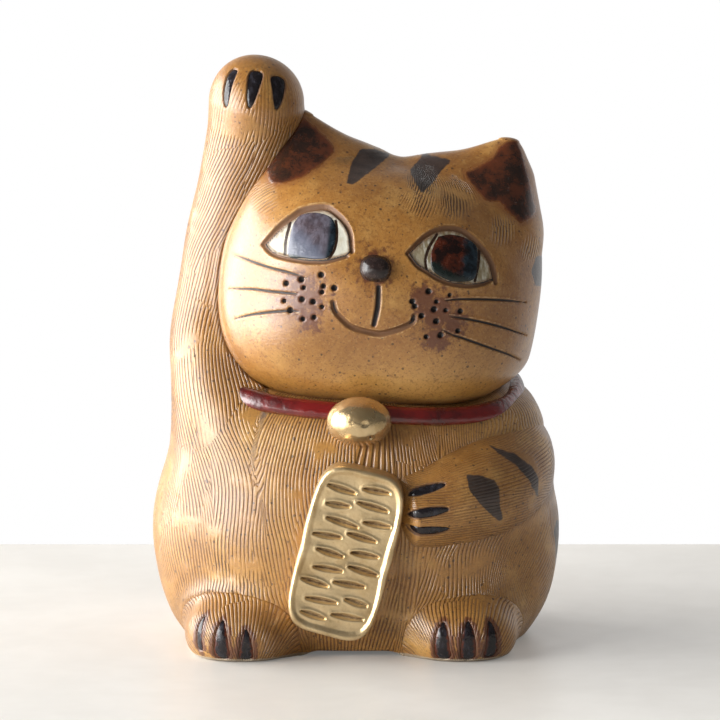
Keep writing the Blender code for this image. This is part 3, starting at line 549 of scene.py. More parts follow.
def ear(side_name, way, lift):
    """One ear: half-ellipse rings, longer towards the crown, that draw in to a blunt tip."""
    centre = way * EAR_SPREAD + EAR_SHIFT
    seat = crown_height(centre) - EAR_SEAT + lift
    turn = full_turn(128)
    rows = smooth_rows(EARS, 60)
    table = np.vstack([rows[0] - [30, 0, 0, 0], rows[::2], [EAR_TIP, 0.01, 0.01, 0.01]])
    rise, inwards, outwards, half_depth = rows.T[:, :, None]
    tip_turn = np.linspace(0, 1, 8)[1:-1, None] * math.pi / 2
    rise = np.concatenate([rise, rise[-1] + (EAR_TIP - rise[-1]) * np.sin(tip_turn)])
    inwards, outwards, half_depth = (
        np.concatenate([reach, reach[-1] * np.cos(tip_turn)]) for reach in (inwards, outwards, half_depth))
    x = centre + way * np.cos(turn) * np.where(np.cos(turn) > 0, outwards, inwards)
    y = np.sin(turn) * half_depth
    grid = np.stack([x, y, np.broadcast_to(seat + rise, x.shape)], axis=-1)

    def gap(points):
        local = to_head(points)
        across, along = way * (local[:, 0] - centre), local[:, 1]
        reach = np.maximum(np.hypot(across, along), 1e-6)
        share_across, share_along = across / reach, along / reach

        def radius_at(up):
            inner_reach, outer_reach, half = (np.interp(up, table[:, 0], table[:, i]) for i in (1, 2, 3))
            return 1 / np.hypot(share_across / np.where(across > 0, outer_reach, inner_reach), share_along / half)

        return ring_gap(reach, local[:, 2] - seat, radius_at, table[:, 0], EAR_TIP + 0.01)

    made = skin(side_name + "_ear", from_head(grid), clay, side_name + "_ear",
                first=from_head(np.array([centre, 0, seat])), last=from_head(np.array([centre, 0, seat + EAR_TIP])),
                run=run_over(np.linspace(0, EAR_RUN, 129), rise[:, 0] * 1.3))
    lumps[side_name + "_ear"] = (made, gap, np.ones(len(made.data.vertices), bool), grid.shape)


ear("right", -1, 0.7)
ear("left", 1, 3.4)

# Raised arm. A thick coil of clay luted up the side of the body and the head, domed at the paw.
RAISED_ARM = np.array([  # place of the middle line, radius
    (-33.0, -15.0, 54.0, 14.6), (-36.6, -12.5, 69.0, 15.4), (-39.8, -6.0, 84.0, 14.2), (-39.2, -0.8, 98.0, 13.4),
    (-36.5, 1.2, 115.0, 13.0), (-32.9, 0.6, 132.0, 12.9), (-30.2, -1.4, 146.0, 13.2), (-28.9, -3.0, 156.0, 13.8),
])
PAW_DOME = 14.0


def coil(name, table, dome, count, around, upward, run_scale=1.0):
    """A coil of clay: rings square to a middle line, and a dome whose rings shrink by the cosine. The
    first ring's spoke points upward, and the comb's run is stretched by the scale."""
    rows = smooth_rows(table, count)
    end, end_run = rows[-1], unit(rows[-1, :3] - rows[-2, :3])
    turn = np.linspace(0, math.pi / 2, count // 6)[1:-1, None]
    cap = np.hstack([end[:3] + end_run * dome * np.sin(turn), end[3] * np.cos(turn)])
    path = np.vstack([rows, cap])
    along = unit(np.vstack([np.gradient(rows[:, :3], axis=0), np.repeat(end_run[None, :], len(cap), 0)]))
    side = unit(upward - along * (along @ upward)[:, None])
    other = np.cross(along, side)
    angle = full_turn(around)
    spoke = np.cos(angle)[None, :, None] * side[:, None] + np.sin(angle)[None, :, None] * other[:, None]
    grid = path[:, None, :3] + path[:, None, 3:] * spoke
    girth = np.linspace(0, 2 * math.pi * table[:, 3].mean(), around + 1)
    made = skin(name, grid, clay, name, first=path[0, :3], last=end[:3] + end_run * dome,
                run=run_over(girth, lengths_along(grid[:, 0])) * run_scale)

    def gap(points):
        """Least distance to the middle line's pieces, less the radius there."""
        beyond = np.maximum((points - end[:3]) @ end_run, 0)[:, None]
        near = points + end_run * beyond * (end[3] / dome - 1)
        best = np.full(len(points), 1e9)
        chain = smooth_rows(table, 40)
        for start, stop in zip(chain, chain[1:]):
            piece = stop[:3] - start[:3]
            share = np.clip((near - start[:3]) @ piece / (piece @ piece), 0, 1)
            away = np.linalg.norm(near - start[:3] - share[:, None] * piece, axis=1)
            best = np.minimum(best, away - start[3] - share * (stop[3] - start[3]))
        return best

    lumps[name] = (made, gap, np.ones(len(made.data.vertices), bool), grid.shape)


coil("raised_arm", RAISED_ARM, PAW_DOME, 270, 210, np.array([0.0, 1.0, 0.0]))

# Coin arm. A tapering coil laid from the shoulder across the belly to the coin's edge.
COIN_ARM = np.array([  # angle from the front, height, radius, depth of the middle line in the torso
    (86.0, 54.3, 12.9, 9.9), (72.0, 52.8, 13.5, 8.7), (56.0, 49.9, 13.6, 6.4), (43.0, 47.0, 12.8, 5.0),
    (31.0, 44.4, 11.2, 4.2), (22.0, 43.2, 9.8, 3.6),
])
COIN_PAW_DOME = 3.6


def on_torso(table):
    """Middle line and radius of a coil laid on the torso, from angles, heights, radii and depths."""
    places = torso_place(np.radians(table[:, 0]), table[:, 1], -table[:, 3])
    return np.column_stack([places, table[:, 2]])


coil("coin_arm", on_torso(COIN_ARM), COIN_PAW_DOME, 170, 176, np.array([0.0, 0.0, -1.0]), 1.35)

# Feet. Two rounded lumps pressed onto the body's lower edge, flat underneath.
FOOT_X = {"right": -32.8, "left": 30.0}
FOOT_HALF = np.array([16.6, 19.0, 17.6 * 0.62])
FOOT_FRONT, FOOT_MIDDLE_HEIGHT, FOOT_SQUARENESS = 49.0, 17.6 * 0.38, 2.3
FOOT_FAN_DEPTH, FOOT_RUN = 14.0, 31.0  # depth under the bench from which the comb's lines fan, mm to a radian


def superellipsoid(direction, half, squareness):
    """Points along directions where |x/a|^n + |y/b|^n + |z/c|^n = 1."""
    return direction * ((np.abs(direction / half) ** squareness).sum(axis=-1) ** (-1 / squareness))[..., None]


def foot_middle(side_name):
    """Place of a foot's middle, half its depth behind its front."""
    return np.array([FOOT_X[side_name], -FOOT_FRONT + FOOT_HALF[1], FOOT_MIDDLE_HEIGHT])


def foot(side_name):
    """One foot: a superellipsoid about its middle, with all that lies under the bench set flat."""
    middle = foot_middle(side_name)
    direction = directions(np.linspace(0, math.pi, 124)[1:-1], full_turn(230))
    grid = middle + superellipsoid(direction, FOOT_HALF, FOOT_SQUARENESS)
    grid[..., 2] = np.where(grid[..., 2] < 0.7, np.maximum(grid[..., 2] * 0.5 + 0.35, 0), grid[..., 2])

    def level(points):
        shares = np.abs((points - middle) / FOOT_HALF) ** FOOT_SQUARENESS
        return (shares.sum(axis=1) ** (1 / FOOT_SQUARENESS) - 1) * 12

    x, y, z = np.moveaxis(np.concatenate([grid, grid[:, :1]], axis=1), -1, 0)
    run = np.stack([np.arctan2(x - middle[0], z + FOOT_FAN_DEPTH) * FOOT_RUN, z - y], axis=-1)
    made = skin(side_name + "_foot", grid, clay, side_name + "_foot",
                first=middle + [0, 0, FOOT_HALF[2]], last=np.array([middle[0], middle[1], 0.0]), run=run)
    lumps[side_name + "_foot"] = (made, true_gap(level), np.ones(len(made.data.vertices), bool), grid.shape)


foot("right")
foot("left")

# Tail. A short coil curled up against the back.
TAIL = np.array([  # angle from the front, height, radius, depth of the middle line in the torso
    (168.0, 9.0, 8.0, 4.4), (178.0, 14.5, 8.2, 3.6), (190.0, 21.0, 7.8, 3.2), (201.0, 29.0, 7.0, 2.9),
    (207.0, 38.0, 5.8, 2.6),
])
TAIL_DOME = 4.0
coil("tail", on_torso(TAIL), TAIL_DOME, 110, 80, np.array([0.0, 1.0, 0.0]))

# Luting. The lumps are joined with slip while leather hard. The slip is smoothed into the corner,
# wide where the form should run on, as at the ears, and narrow where the edge of a lump shows.
TUCK = 1.2  # how far under its carrier's surface a lump's hidden side lies
JOINS = (  # lump, lump, width of the smoothed corner, darkness of the line in it, whether a line is left
    ("head", "right_ear", 12.0, 0.0, False),
    ("head", "left_ear", 12.0, 0.0, False),
    ("torso", "raised_arm", 9.0, 0.25, False),
    ("head", "raised_arm", 3.0, 0.9, True),
    ("right_ear", "raised_arm", 2.5, 0.9, True),
    ("torso", "coin_arm", 6.0, 0.45, False),
    ("torso", "right_foot", 7.5, 0.14, False),
    ("torso", "left_foot", 7.5, 0.14, False),
    ("torso", "tail", 4.0, 0.4, True),
    ("torso", "head", 2.0, 0.8, True),
)
CARRIERS = {
    "torso": ("head",), "right_ear": ("head", "raised_arm"), "left_ear": ("head",), "raised_arm": ("torso", "head"),
    "coin_arm": ("torso",), "right_foot": ("torso",), "left_foot": ("torso",), "tail": ("torso",),
}


def clear_of_hollow(points):
    """Draws a foot's hidden side back into the torso's wall: what lies deeper than TUCK inside the
    torso's outline slides level to TUCK inside it, and rises by 0.4 mm and a fifth of the slide."""
    x, y, z = points.T
    z = np.maximum(z, 0)
    turn, reach = np.arctan2(x, -y), np.hypot(x, y)
    inside = np.hypot(*torso_place(turn, z)[:, :2].T) - reach
    excess = np.maximum(inside - TUCK, 0)
    risen = z + (0.4 * ease(inside, 0.1, TUCK) + 0.2 * excess) * (z < 4)
    return np.stack([x * (reach + excess) / reach, y * (reach + excess) / reach, risen], axis=-1)


def calm(points, shape):
    """Takes ripples out of the short rings near a tip: a ring keeps one wave for each 1.3 mm of it."""
    count = shape[0] * shape[1]
    rings = points[:count].reshape(shape)
    girth = np.linalg.norm(np.roll(rings, -1, axis=1) - rings, axis=2).sum(axis=1)
    waves = np.fft.rfft(rings, axis=1)
    kept = np.arange(waves.shape[1])[None, :] <= np.maximum(girth / 1.3, 3)[:, None]
    rings = np.fft.irfft(waves * kept[..., None], n=shape[1], axis=1)
    return np.vstack([rings.reshape(-1, 3), points[count:]])


def hand_waves(points):
    """Unevenness left by the hand, in mm: three crossing sine waves of some centimetres each, none at
    the foot."""
    x, y, z = np.moveaxis(points, -1, 0)
    waves = np.sin(x / 5.1 + z / 8.3 + 1.0) + np.sin(y / 6.2 - z / 6.9) + np.sin((x - y) / 9.7 + z / 4.6)
    return 0.13 * waves * ease(z, 2.0, 12.0)


def lute(name):
    """Moves a lump's points onto the smooth union of it and its neighbours. The union's distance is
    the lesser of two distances, less (k - their difference)^2 / 4k where they differ by under k.
    Points inside a neighbour move straight out only, and less the deeper they lie, sooner where a
    line is left in the corner. In narrow corners the moves are evened out between neighbours."""
    obj, own, outside, shape = lumps[name]
    base = points_of(obj)
    points = base.copy()
    neighbours = [(second if first == name else first, k, dark, cut)
                  for first, second, k, dark, cut in JOINS if name in (first, second)]
    hold = np.ones(len(points))
    slide = np.ones(len(points))
    corner = np.zeros(len(points))
    seam = np.zeros(len(points))
    close = np.zeros(len(points), bool)
    for other, k, dark, cut in neighbours:
        gap = lumps[other][1](base)
        hold *= np.clip((gap / k + 0.35) / 0.6, 0, 1) if cut else np.clip((gap / k + 0.62) / 0.5, 0, 1)
        slide *= np.clip(1 + (gap / k + 0.03) / 0.25, 0, 1)
        corner = np.maximum(corner, np.clip(1.6 - np.abs(gap) / k, 0, 1) * (k < 10))
        seam = np.maximum(seam, dark * np.clip(1 - np.abs(gap) / 2.2, 0, 1) ** 1.5)
        close |= np.abs(gap) < k
    for other in CARRIERS.get(name, ()):
        for step in range(3):
            deep = lumps[other][1](points) < -TUCK
            here, slope = slope_of(lumps[other][1], points[deep])
            points[deep] -= slope * ((here + TUCK) / np.maximum((slope**2).sum(1), 0.05))[:, None]
    close &= outside & (hold > 0)
    start = own(base[close])

    def union(at):
        total = own(at) - start
        for other, k, dark, cut in neighbours:
            gap = lumps[other][1](at)
            total = np.minimum(total, gap) - np.maximum(k - np.abs(total - gap), 0) ** 2 / (4 * k)
        return total

    moved = base[close]
    for step in range(3):
        here, slope = slope_of(union, moved)
        moved = moved - slope * (here / np.maximum((slope**2).sum(1), 0.2))[:, None]
    facing = normals_of(obj)[close]
    lift = moved - base[close]
    straight = (lift * facing).sum(axis=1, keepdims=True) * facing
    moved = base[close] + straight + (lift - straight) * slide[close][:, None]
    share = hold[close][:, None]
    points[close] = points[close] * (1 - share) + moved * share
    count = shape[0] * shape[1]
    shift = (points - base)[:count].reshape(shape)
    for step in range(3):
        shift = (np.roll(shift, 1, 1) + 2 * shift + np.roll(shift, -1, 1)) / 4
        shift[1:-1] = (shift[:-2] + 2 * shift[1:-1] + shift[2:]) / 4
    points[:count] += ((base[:count] + shift.reshape(-1, 3)) - points[:count]) * corner[:count, None]
    points = calm(points, shape)
    if name.endswith("_foot"):
        points = clear_of_hollow(points)
    move_points(obj, points)
    outward = normals_of(obj)
    outward[close] = unit(slope_of(union, points[close])[1])
    waves = hand_waves(points) * outside
    waves = np.minimum(waves, waves * np.where(close, hold, 1))
    move_points(obj, points + outward * waves[:, None])
    write_value(obj, "seam", seam)


for name in lumps:
    lute(name)

# Combing. A toothed rib is drawn over the damp clay: upright on the belly, aslant on the chest and
# flanks, lengthways on the limbs. The face is smoothed again, but for a few traces above the eyes.
# Painted light makes the glaze lighter on the chin and the left shoulder, and painted shade makes it darker on the
# right cheek and the raised arm, where the window's light is strong.
LIGHT_AND_SHADE_PATCHES = (  # lump, painted light ('thin') or painted shade ('thick'), middle, reach each way, and share
    ("head", "thin", (17.0, -40.0, 78.0), (29.0, 30.0, 9.0), 0.80),
    ("head", "thick", (-44.0, -30.0, 92.0), (12.0, 30.0, 30.0), 0.30),
    ("torso", "thin", (46.0, -18.0, 62.0), (16.0, 26.0, 10.0), 0.85),
    ("raised_arm", "thick", (-37.0, -10.0, 126.0), (40.0, 40.0, 46.0), 0.42),
)
COMB_TRACES = (  # places on the brow in mm across and up, and their reach
    ((8.5, 30.5), 5.0), ((18.5, 30.0), 4.5), ((33.0, 23.0), 3.6), ((42.5, 17.5), 3.0), ((-36.0, 22.0), 3.5),
    ((-15.0, 37.5), 3.0),
)

for name, (obj, gap, outside, shape) in lumps.items():
    points = points_of(obj)
    x, y, z = points.T
    lay = np.zeros(len(points))  # degrees that the lines are turned from the lump's own length
    comb = outside.astype(float)  # how deep they are drawn
    if name == "torso":
        front = ease(-y, 2, 26)
        meeting = 26.0 + 3.6 * np.exp(-(((z - 56) / 10) ** 2))
        leftmost = ease(-x, meeting - 0.8, meeting + 0.8)
        lay += 13 * (1 - ease(x, -8, 12)) * (1 - leftmost) * front * ease(z, 30, 58)
        lay -= 36 * ease(z, 34, 72) * leftmost * (1 - ease(-x, 38, 60)) * front
        flank = ease(-y, -26, 28)
        lay += 38 * ease(x, 15, 50) * ease(z, 50, 66) * flank
        lay += 30 * ease(x, 30, 52) * (1 - ease(z, 46, 62)) * flank
        comb *= 1 + 0.35 * ease(-x, 3, 12) * front - 0.30 * ease(x, 2, 16) * front
    if name == "head":
        local = to_head(points)
        comb *= ease(local[:, 1], 4, 14)
        for middle, reach in COMB_TRACES:
            far = np.linalg.norm(local[:, [0, 2]] - middle, axis=1)
            comb = np.maximum(comb, 1.7 * np.exp(-((far / reach) ** 4)))
        lay -= 42 * (local[:, 1] < 2)
    if name.endswith("_ear"):
        comb *= ease(to_head(points)[:, 1], 0, 6)
    if name == "raised_arm":
        comb *= 1.05 - 0.85 * ease(z, 146, 157)
    if name == "coin_arm":
        comb *= 0.6 * ease(-y, 1, 16)
    if name.endswith("_foot"):
        comb *= 0.80
    write_value(obj, "lay", np.radians(lay))
    write_value(obj, "comb", comb)
    # painted light and painted shade, written as 'thin' and 'thick'
    painted_patches = {"thin": np.zeros(len(points)), "thick": np.zeros(len(points))}
    for lump, coat, middle, reach, share in LIGHT_AND_SHADE_PATCHES:
        if name == lump:
            painted_patches[coat] += share * np.exp(-(((points - middle) / reach) ** 2).sum(axis=1)) * ease(-y, -4, 4)
    for coat, amounts in painted_patches.items():
        write_value(obj, coat, amounts)

# Carved face. The lids, the whiskers and the mouth are cut into the damp clay with a pointed stick,
# whose burr stands up pale beside the cuts. The whisker roots are pricked.
def drawn(*places, count=28):
    """A smooth line through places on the face, each in mm across and mm up."""
    return smooth_rows(np.array(places, float), count)


UPPER_LIDS = {
    "right": drawn((-34.7, 9.9), (-30.8, 15.6), (-27.5, 18.9), (-24.9, 21.1), (-21.4, 22.5), (-17.8, 23.1),
                   (-14.6, 21.7), (-12.2, 19.9), (-10.4, 17.2), (-9.3, 12.7)),
    "left": drawn((6.4, 14.4), (8.7, 17.2), (11.0, 19.6), (14.1, 21.5), (17.3, 22.2), (20.7, 22.0), (24.3, 20.2),
                  (27.2, 17.9), (29.9, 15.2), (31.8, 11.8), (32.9, 8.3)),
}
LOWER_LIDS = {
    "right": drawn((-34.6, 9.9), (-32.7, 8.4), (-29.6, 7.7), (-23.0, 7.8), (-19.4, 8.2), (-15.8, 9.0), (-10.4, 11.2)),
    "left": drawn((6.6, 14.1), (9.5, 11.4), (12.4, 10.1), (15.9, 8.5), (19.4, 7.5), (22.7, 7.2), (26.0, 7.2),
                  (29.3, 7.9), (31.4, 8.7)),
}
LID_SHELF, EYE_POCKET = 0.50, 1.5  # width of the brown cut inside the lids, and depth of the pocket there
MOUTH = drawn((-12.7, -2.3), (-11.7, -4.7), (-9.5, -6.6), (-6.7, -8.5), (-2.9, -9.2), (1.5, -9.4), (5.0, -8.2),
              (8.1, -6.6), (10.5, -4.8), (10.8, -2.8))
PHILTRUM = drawn((-0.4, 4.0), (0.1, -1.5), (-0.2, -7.0))
WHISKERS = (
    drawn((-21.2, 3.4), (-26.1, 3.9), (-31.3, 4.0), (-37.3, 4.4), (-42.6, 4.6)),
    drawn((-23.1, -1.8), (-25.3, -2.0), (-30.4, -2.6), (-36.2, -3.4), (-42.4, -5.3)),
    drawn((-21.0, -6.4), (-24.6, -7.0), (-29.6, -8.4), (-35.2, -10.6), (-39.9, -13.3)),
    drawn((18.7, 2.4), (23.3, 3.2), (29.9, 3.6), (36.7, 3.4), (42.8, 2.4)),
    drawn((20.3, -1.9), (24.7, -2.2), (30.8, -3.0), (37.8, -4.7), (44.3, -7.4)),
    drawn((19.3, -6.0), (23.1, -7.4), (25.5, -7.9), (31.8, -9.7), (39.0, -12.2), (43.6, -14.9)),
)
WHISKER_ROOTS = (
    (-26.6, 0.6), (-22.5, 2.6), (-21.5, 0.4), (-17.1, 5.0), (-16.0, 1.9), (-16.2, 0.1), (-12.9, 1.9),
    (-26.5, -4.5), (-21.5, -3.0), (-18.3, -3.1), (-15.6, -4.1), (-24.4, -6.8), (-20.5, -8.6), (-17.4, -7.5),
    (13.9, 4.6), (20.1, 4.2), (9.7, 1.2), (10.6, -0.1), (16.6, 1.9), (16.2, -0.4), (19.6, -0.3), (23.8, -0.2),
    (12.9, -2.6), (10.6, -4.0), (17.3, -3.7), (23.9, -5.9), (15.1, -8.5), (19.1, -7.6),
)
ROOT_RADIUS, ROOT_UNEVEN, ROOT_DEPTH = 0.78, 0.14, 1.2
# Half width and depth of a cut, the share of its width that is black, and the share that runs out.
UPPER_LID_CUT, LOWER_LID_CUT = (0.95, 0.95, 0.0, 0.35), (0.75, 0.85, 0.0, 0.5)
MOUTH_CUT, MOUTH_END_CUT = (0.95, 0.9, 0.0, 0.15), (0.75, 0.9, 0.40, 0.3)
PHILTRUM_CUT, WHISKER_CUT = (0.85, 0.95, 0.72, 0.1), (0.40, 0.50, 0.75, 0.7)
CONE_FALL = 1.6  # mm over which a cone of colour falls to nothing, more than from point to point


def line_gap(places, line):
    """Least distance to a line of straight pieces, and how far along it that is, from 0 to 1."""
    start, piece = line[:-1], np.diff(line, axis=0)
    away = places[:, None] - start
    share = np.clip((away * piece).sum(axis=2) / (piece**2).sum(axis=1), 0, 1)
    far = np.linalg.norm(away - share[..., None] * piece, axis=2)
    nearest = far.argmin(axis=1)
    row = np.arange(len(places))
    return far[row, nearest], (nearest + share[row, nearest]) / len(piece)


def area_gap(places, outline):
    """Distance outside a closed outline, negative inside, where a level ray crosses it an odd number
    of times."""
    closed = np.vstack([outline, outline[:1]])
    x, y = places[:, :1], places[:, 1:]
    (x0, y0), (x1, y1) = closed[:-1].T, closed[1:].T
    crossed = ((y0 > y) != (y1 > y)) & (x < x0 + (x1 - x0) * (y - y0) / np.where(y1 == y0, 1e-9, y1 - y0))
    far = line_gap(places, closed)[0]
    return np.where(crossed.sum(axis=1) % 2 == 1, -far, far)


points, outward = points_of(head), normals_of(head)
local = to_head(points)
on_front = np.flatnonzero((local[:, 1] < -5) & lumps["head"][2])
places = local[on_front][:, [0, 2]]
cut_depth, burr, groove, pit = (np.zeros(len(places)) for value in range(4))


def cone(inside):
    """Height of a cone of colour so far inside the colour's edge: half at the edge."""
    return np.clip(0.5 + inside / CONE_FALL, 0, 1)


def lip(beyond):
    """Height of the burr so far outside the edge of a cut."""
    return np.clip(1 - np.abs(beyond - 0.25) / 0.6, 0, 1)


def carve(line, half_width, deep, black, run_out):
    """One pull of the stick: a V with a burr on each side, narrower towards its ends by the share that
    runs out, brown in the cut and black over a share of its width."""
    near = np.flatnonzero(((places > line.min(axis=0) - 3) & (places < line.max(axis=0) + 3)).all(axis=1))
    far, along = line_gap(places[near], line)
    width = half_width * (1 - run_out * np.abs(2 * along - 1) ** 3)
    cut_depth[near] = np.maximum(cut_depth[near], deep * (1 - ease(far, 0.15 * width, 1.1 * width)))
    burr[near] = np.maximum(burr[near], lip(far - width) * (along > 0) * (along < 1))
    groove[near] = np.maximum(groove[near], cone(width - far))
    pit[near] = np.maximum(pit[near], cone(black * width - far) if black else 0)


for side_name in UPPER_LIDS:
    upper_lid, lower_lid = UPPER_LIDS[side_name], LOWER_LIDS[side_name]
    sunk = area_gap(places, np.vstack([upper_lid, lower_lid[::-1]]))
    cut_depth = np.maximum(cut_depth, EYE_POCKET * ease(-LID_SHELF - sunk, 0, 0.6))
    carve(upper_lid, *UPPER_LID_CUT)
    carve(lower_lid, *LOWER_LID_CUT)
    pit = np.maximum(pit, cone(0.22 - np.abs(sunk + LID_SHELF)))
carve(MOUTH, *MOUTH_CUT)
carve(MOUTH[:5], *MOUTH_END_CUT)
carve(MOUTH[-5:], *MOUTH_END_CUT)
carve(PHILTRUM, *PHILTRUM_CUT)
for whisker in WHISKERS:
    carve(whisker, *WHISKER_CUT)
for number, root in enumerate(WHISKER_ROOTS):
    far = np.linalg.norm(places - root, axis=1)
    radius = ROOT_RADIUS + ROOT_UNEVEN * math.sin(2.4 * number)
    cut_depth = np.maximum(cut_depth, ROOT_DEPTH * (1 - ease(far, 0.4 * radius, 1.15 * radius)))
    burr = np.maximum(burr, 0.75 * lip(far - radius))
    pit = np.maximum(pit, cone(radius - far))
points[on_front] -= outward[on_front] * (cut_depth - 0.12 * burr**2 * (cut_depth < 0.1))[:, None]
move_points(head, points)
for name, values in (("groove", groove), ("pit", pit), ("burr", burr)):
    whole = np.zeros(len(points))
    whole[on_front] = values
    write_value(head, name, whole)

# Painting. Iron pigment brushed on under the glaze fires red-brown to black where it is thick, in the
# ears, and slate where it is thin: stripes on the crown, the coin arm and the flanks.
PAINT = (  # kind, lumps, the view that its outline is drawn in, outline in mm
    ("iron", ("head", "right_ear"), "face",
     ((-28.0, 44.4), (-23.7, 42.3), (-19.2, 39.1), (-17.8, 37.1), (-21.3, 33.3), (-26.7, 29.1), (-30.8, 27.0),
      (-34.7, 26.3), (-37.2, 30.4), (-34.9, 35.1), (-31.3, 39.6))),
    ("iron", ("head", "left_ear"), "face",
     ((20.2, 36.1), (24.2, 38.3), (27.6, 40.9), (30.1, 45.2), (33.6, 46.6), (35.8, 43.8), (38.7, 37.4), (41.4, 30.5),
      (42.3, 26.9), (38.3, 24.7), (34.4, 27.1), (31.4, 29.8), (26.7, 30.2), (22.4, 33.8))),
    ("wash", ("head", "right_ear"), "face",
     ((-13.3, 30.0), (-12.6, 34.6), (-10.4, 38.4), (-6.0, 38.6), (-1.6, 37.4), (-5.7, 34.3), (-11.4, 30.0))),
    ("wash", ("head", "left_ear"), "face",
     ((8.0, 39.0), (16.0, 38.8), (13.6, 35.9), (11.5, 33.0), (8.4, 30.3), (6.2, 32.6), (4.4, 34.8), (6.2, 36.6))),
    ("wash", ("head",), "side",
     ((-15.0, 11.0), (-10.5, 15.0), (0.0, 14.2), (10.0, 13.0), (8.0, 7.5), (-4.0, 5.6), (-12.5, 6.8))),
    ("wash", ("coin_arm", "torso"), "model",
     ((31.5, 54.1), (35.3, 53.9), (39.6, 52.2), (41.1, 49.6), (41.2, 45.0), (42.2, 40.6), (41.0, 39.8), (36.3, 44.8),
      (32.6, 49.6))),
    ("wash", ("coin_arm", "torso"), "model",
     ((38.0, 60.9), (45.9, 58.2), (50.6, 54.2), (52.6, 50.5), (52.4, 44.6), (49.6, 51.0), (45.9, 55.4))),
    ("wash", ("torso",), "flank",
     ((-14.0, 32.0), (-9.0, 35.0), (-3.0, 33.0), (-3.5, 24.0), (-7.0, 19.5), (-10.5, 25.0))),
)
BLOTCH = (  # places of the rusty stain on the muzzle in mm across and up, and their reach
    ((-20.4, -2.2), 7.0), ((-18.5, -8.0), 3.8), ((-24.0, 1.0), 4.0), ((17.0, -1.6), 7.2), ((22.0, -3.5), 5.2),
    ((13.0, 3.0), 4.2), ((18.0, -8.5), 4.6), ((-2.2, 9.0), 6.0),
)
IRON_SOFTNESS, WASH_SOFTNESS = 5.0, 2.5  # mm over which the paint's edge goes from none to full


def rounded(outline, waves=14):
    """A closed outline with its corners rounded: the lowest waves of its run round the middle."""
    closed = np.vstack([outline, outline[:1]])
    length = lengths_along(closed)
    stops = np.linspace(0, length[-1], 120, endpoint=False)
    run = np.fft.fft(np.interp(stops, length, closed[:, 0]) + 1j * np.interp(stops, length, closed[:, 1]))
    run[waves:-waves] = 0
    smooth = np.fft.ifft(run)
    return np.column_stack([smooth.real, smooth.imag])


def seen(points, view):
    """Two directions of a lump's points, and whether they lie on that side: the face or the left side of
    the head, the left flank, or else the front."""
    local = to_head(points)
    if view == "face":
        return local[:, [0, 2]], local[:, 1] < 4
    if view == "side":
        return local[:, 1:], local[:, 0] > 25
    if view == "flank":
        return points[:, 1:], points[:, 0] > 40
    return points[:, [0, 2]], points[:, 1] < -10


for name, (obj, gap, outside, shape) in lumps.items():
    points = points_of(obj)
    values = {kind: np.zeros(len(points)) for kind in ("iron", "wash", "stain")}
    for kind, painted, view, outline in PAINT:
        if name in painted:
            flat, facing = seen(points, view)
            softness = IRON_SOFTNESS if kind == "iron" else WASH_SOFTNESS
            amount = np.clip(0.5 - area_gap(flat, rounded(np.array(outline))) / softness, 0, 1) * facing
            values[kind] = np.maximum(values[kind], amount)
    if name == "head":
        flat, facing = seen(points, "face")
        for middle, spread in BLOTCH:
            amount = np.exp(-((np.linalg.norm(flat - middle, axis=1) / spread) ** 2))
            values["stain"] = np.maximum(values["stain"], amount * facing)
    for kind, amounts in values.items():
        write_value(obj, kind, amounts)
    if name == "torso" or name.endswith("_foot"):
        write_value(obj, "bare", np.clip(0.5 + (1.1 - points[:, 2]) / 1.5, 0, 1) * outside)

# Claws. Each is a slot cut in the paw and filled with black glaze, which lies just under its lips.
# On the feet the slots run down to the rim and the glaze has run red-brown at the edges.
CLAW_SINK, CLAW_THICK = 0.15, 1.3  # depth of the glaze under the clay's surface, and its thickness
CLAW_ROWS, CLAW_COLUMNS = 48, 40
CLAW_BLACK, CLAW_BLOOM, CLAW_RUST = (0.014, 0.011, 0.013), (0.034, 0.032, 0.042), (0.120, 0.026, 0.010)

claw_glaze = Glaze("black_claw_glaze")
bloom = claw_glaze.step(claw_glaze.noise(0.7, 3.0, upright=0.35), 0.45, 0.75)
patchy = claw_glaze.times(claw_glaze.noise(0.8, 3.0), 0.8, -0.4)
rusted = claw_glaze.step(claw_glaze.calc("ADD", claw_glaze.attribute("rust"), patchy), 0.4, 0.8)
colour = claw_glaze.over(claw_glaze.blend(bloom, CLAW_BLACK, CLAW_BLOOM), CLAW_RUST, rusted)
claw_glaze.finish(colour, claw_glaze.times(bloom, 0.16, 0.14), claw_glaze.noise(0.7), 0.22)


def frame_on(normal, upward):
    """Three directions at a place on a surface: across, upward in the surface, and out of it."""
    out = unit(np.asarray(normal, float))
    up = unit(upward - out * (out @ upward))
    return np.array([np.cross(up, out), up, out])


def signed_power(value, power):
    """|value|^power with the sign of the value."""
    return np.sign(value) * np.abs(value) ** power


def claw_half(share, low, high, low_end, high_end):
    """Half width of a claw at a share of its length: a straight taper times the root of 1 - m^n, where
    m goes from -1 to 1 along it and n is large for a blunt end and small for a pointed one."""
    middle = 2 * share - 1
    power = np.where(middle < 0, low_end, high_end)
    return (low + (high - low) * share) / 2 * np.sqrt(1 - np.abs(middle) ** power)


def lay_on(gap, points, out):
    """Brings points onto a lump by going along one direction as far as the distance that is left."""
    for step in range(5):
        points = points - out * gap(points)[:, None]
    return points + out * hand_waves(points)[:, None]


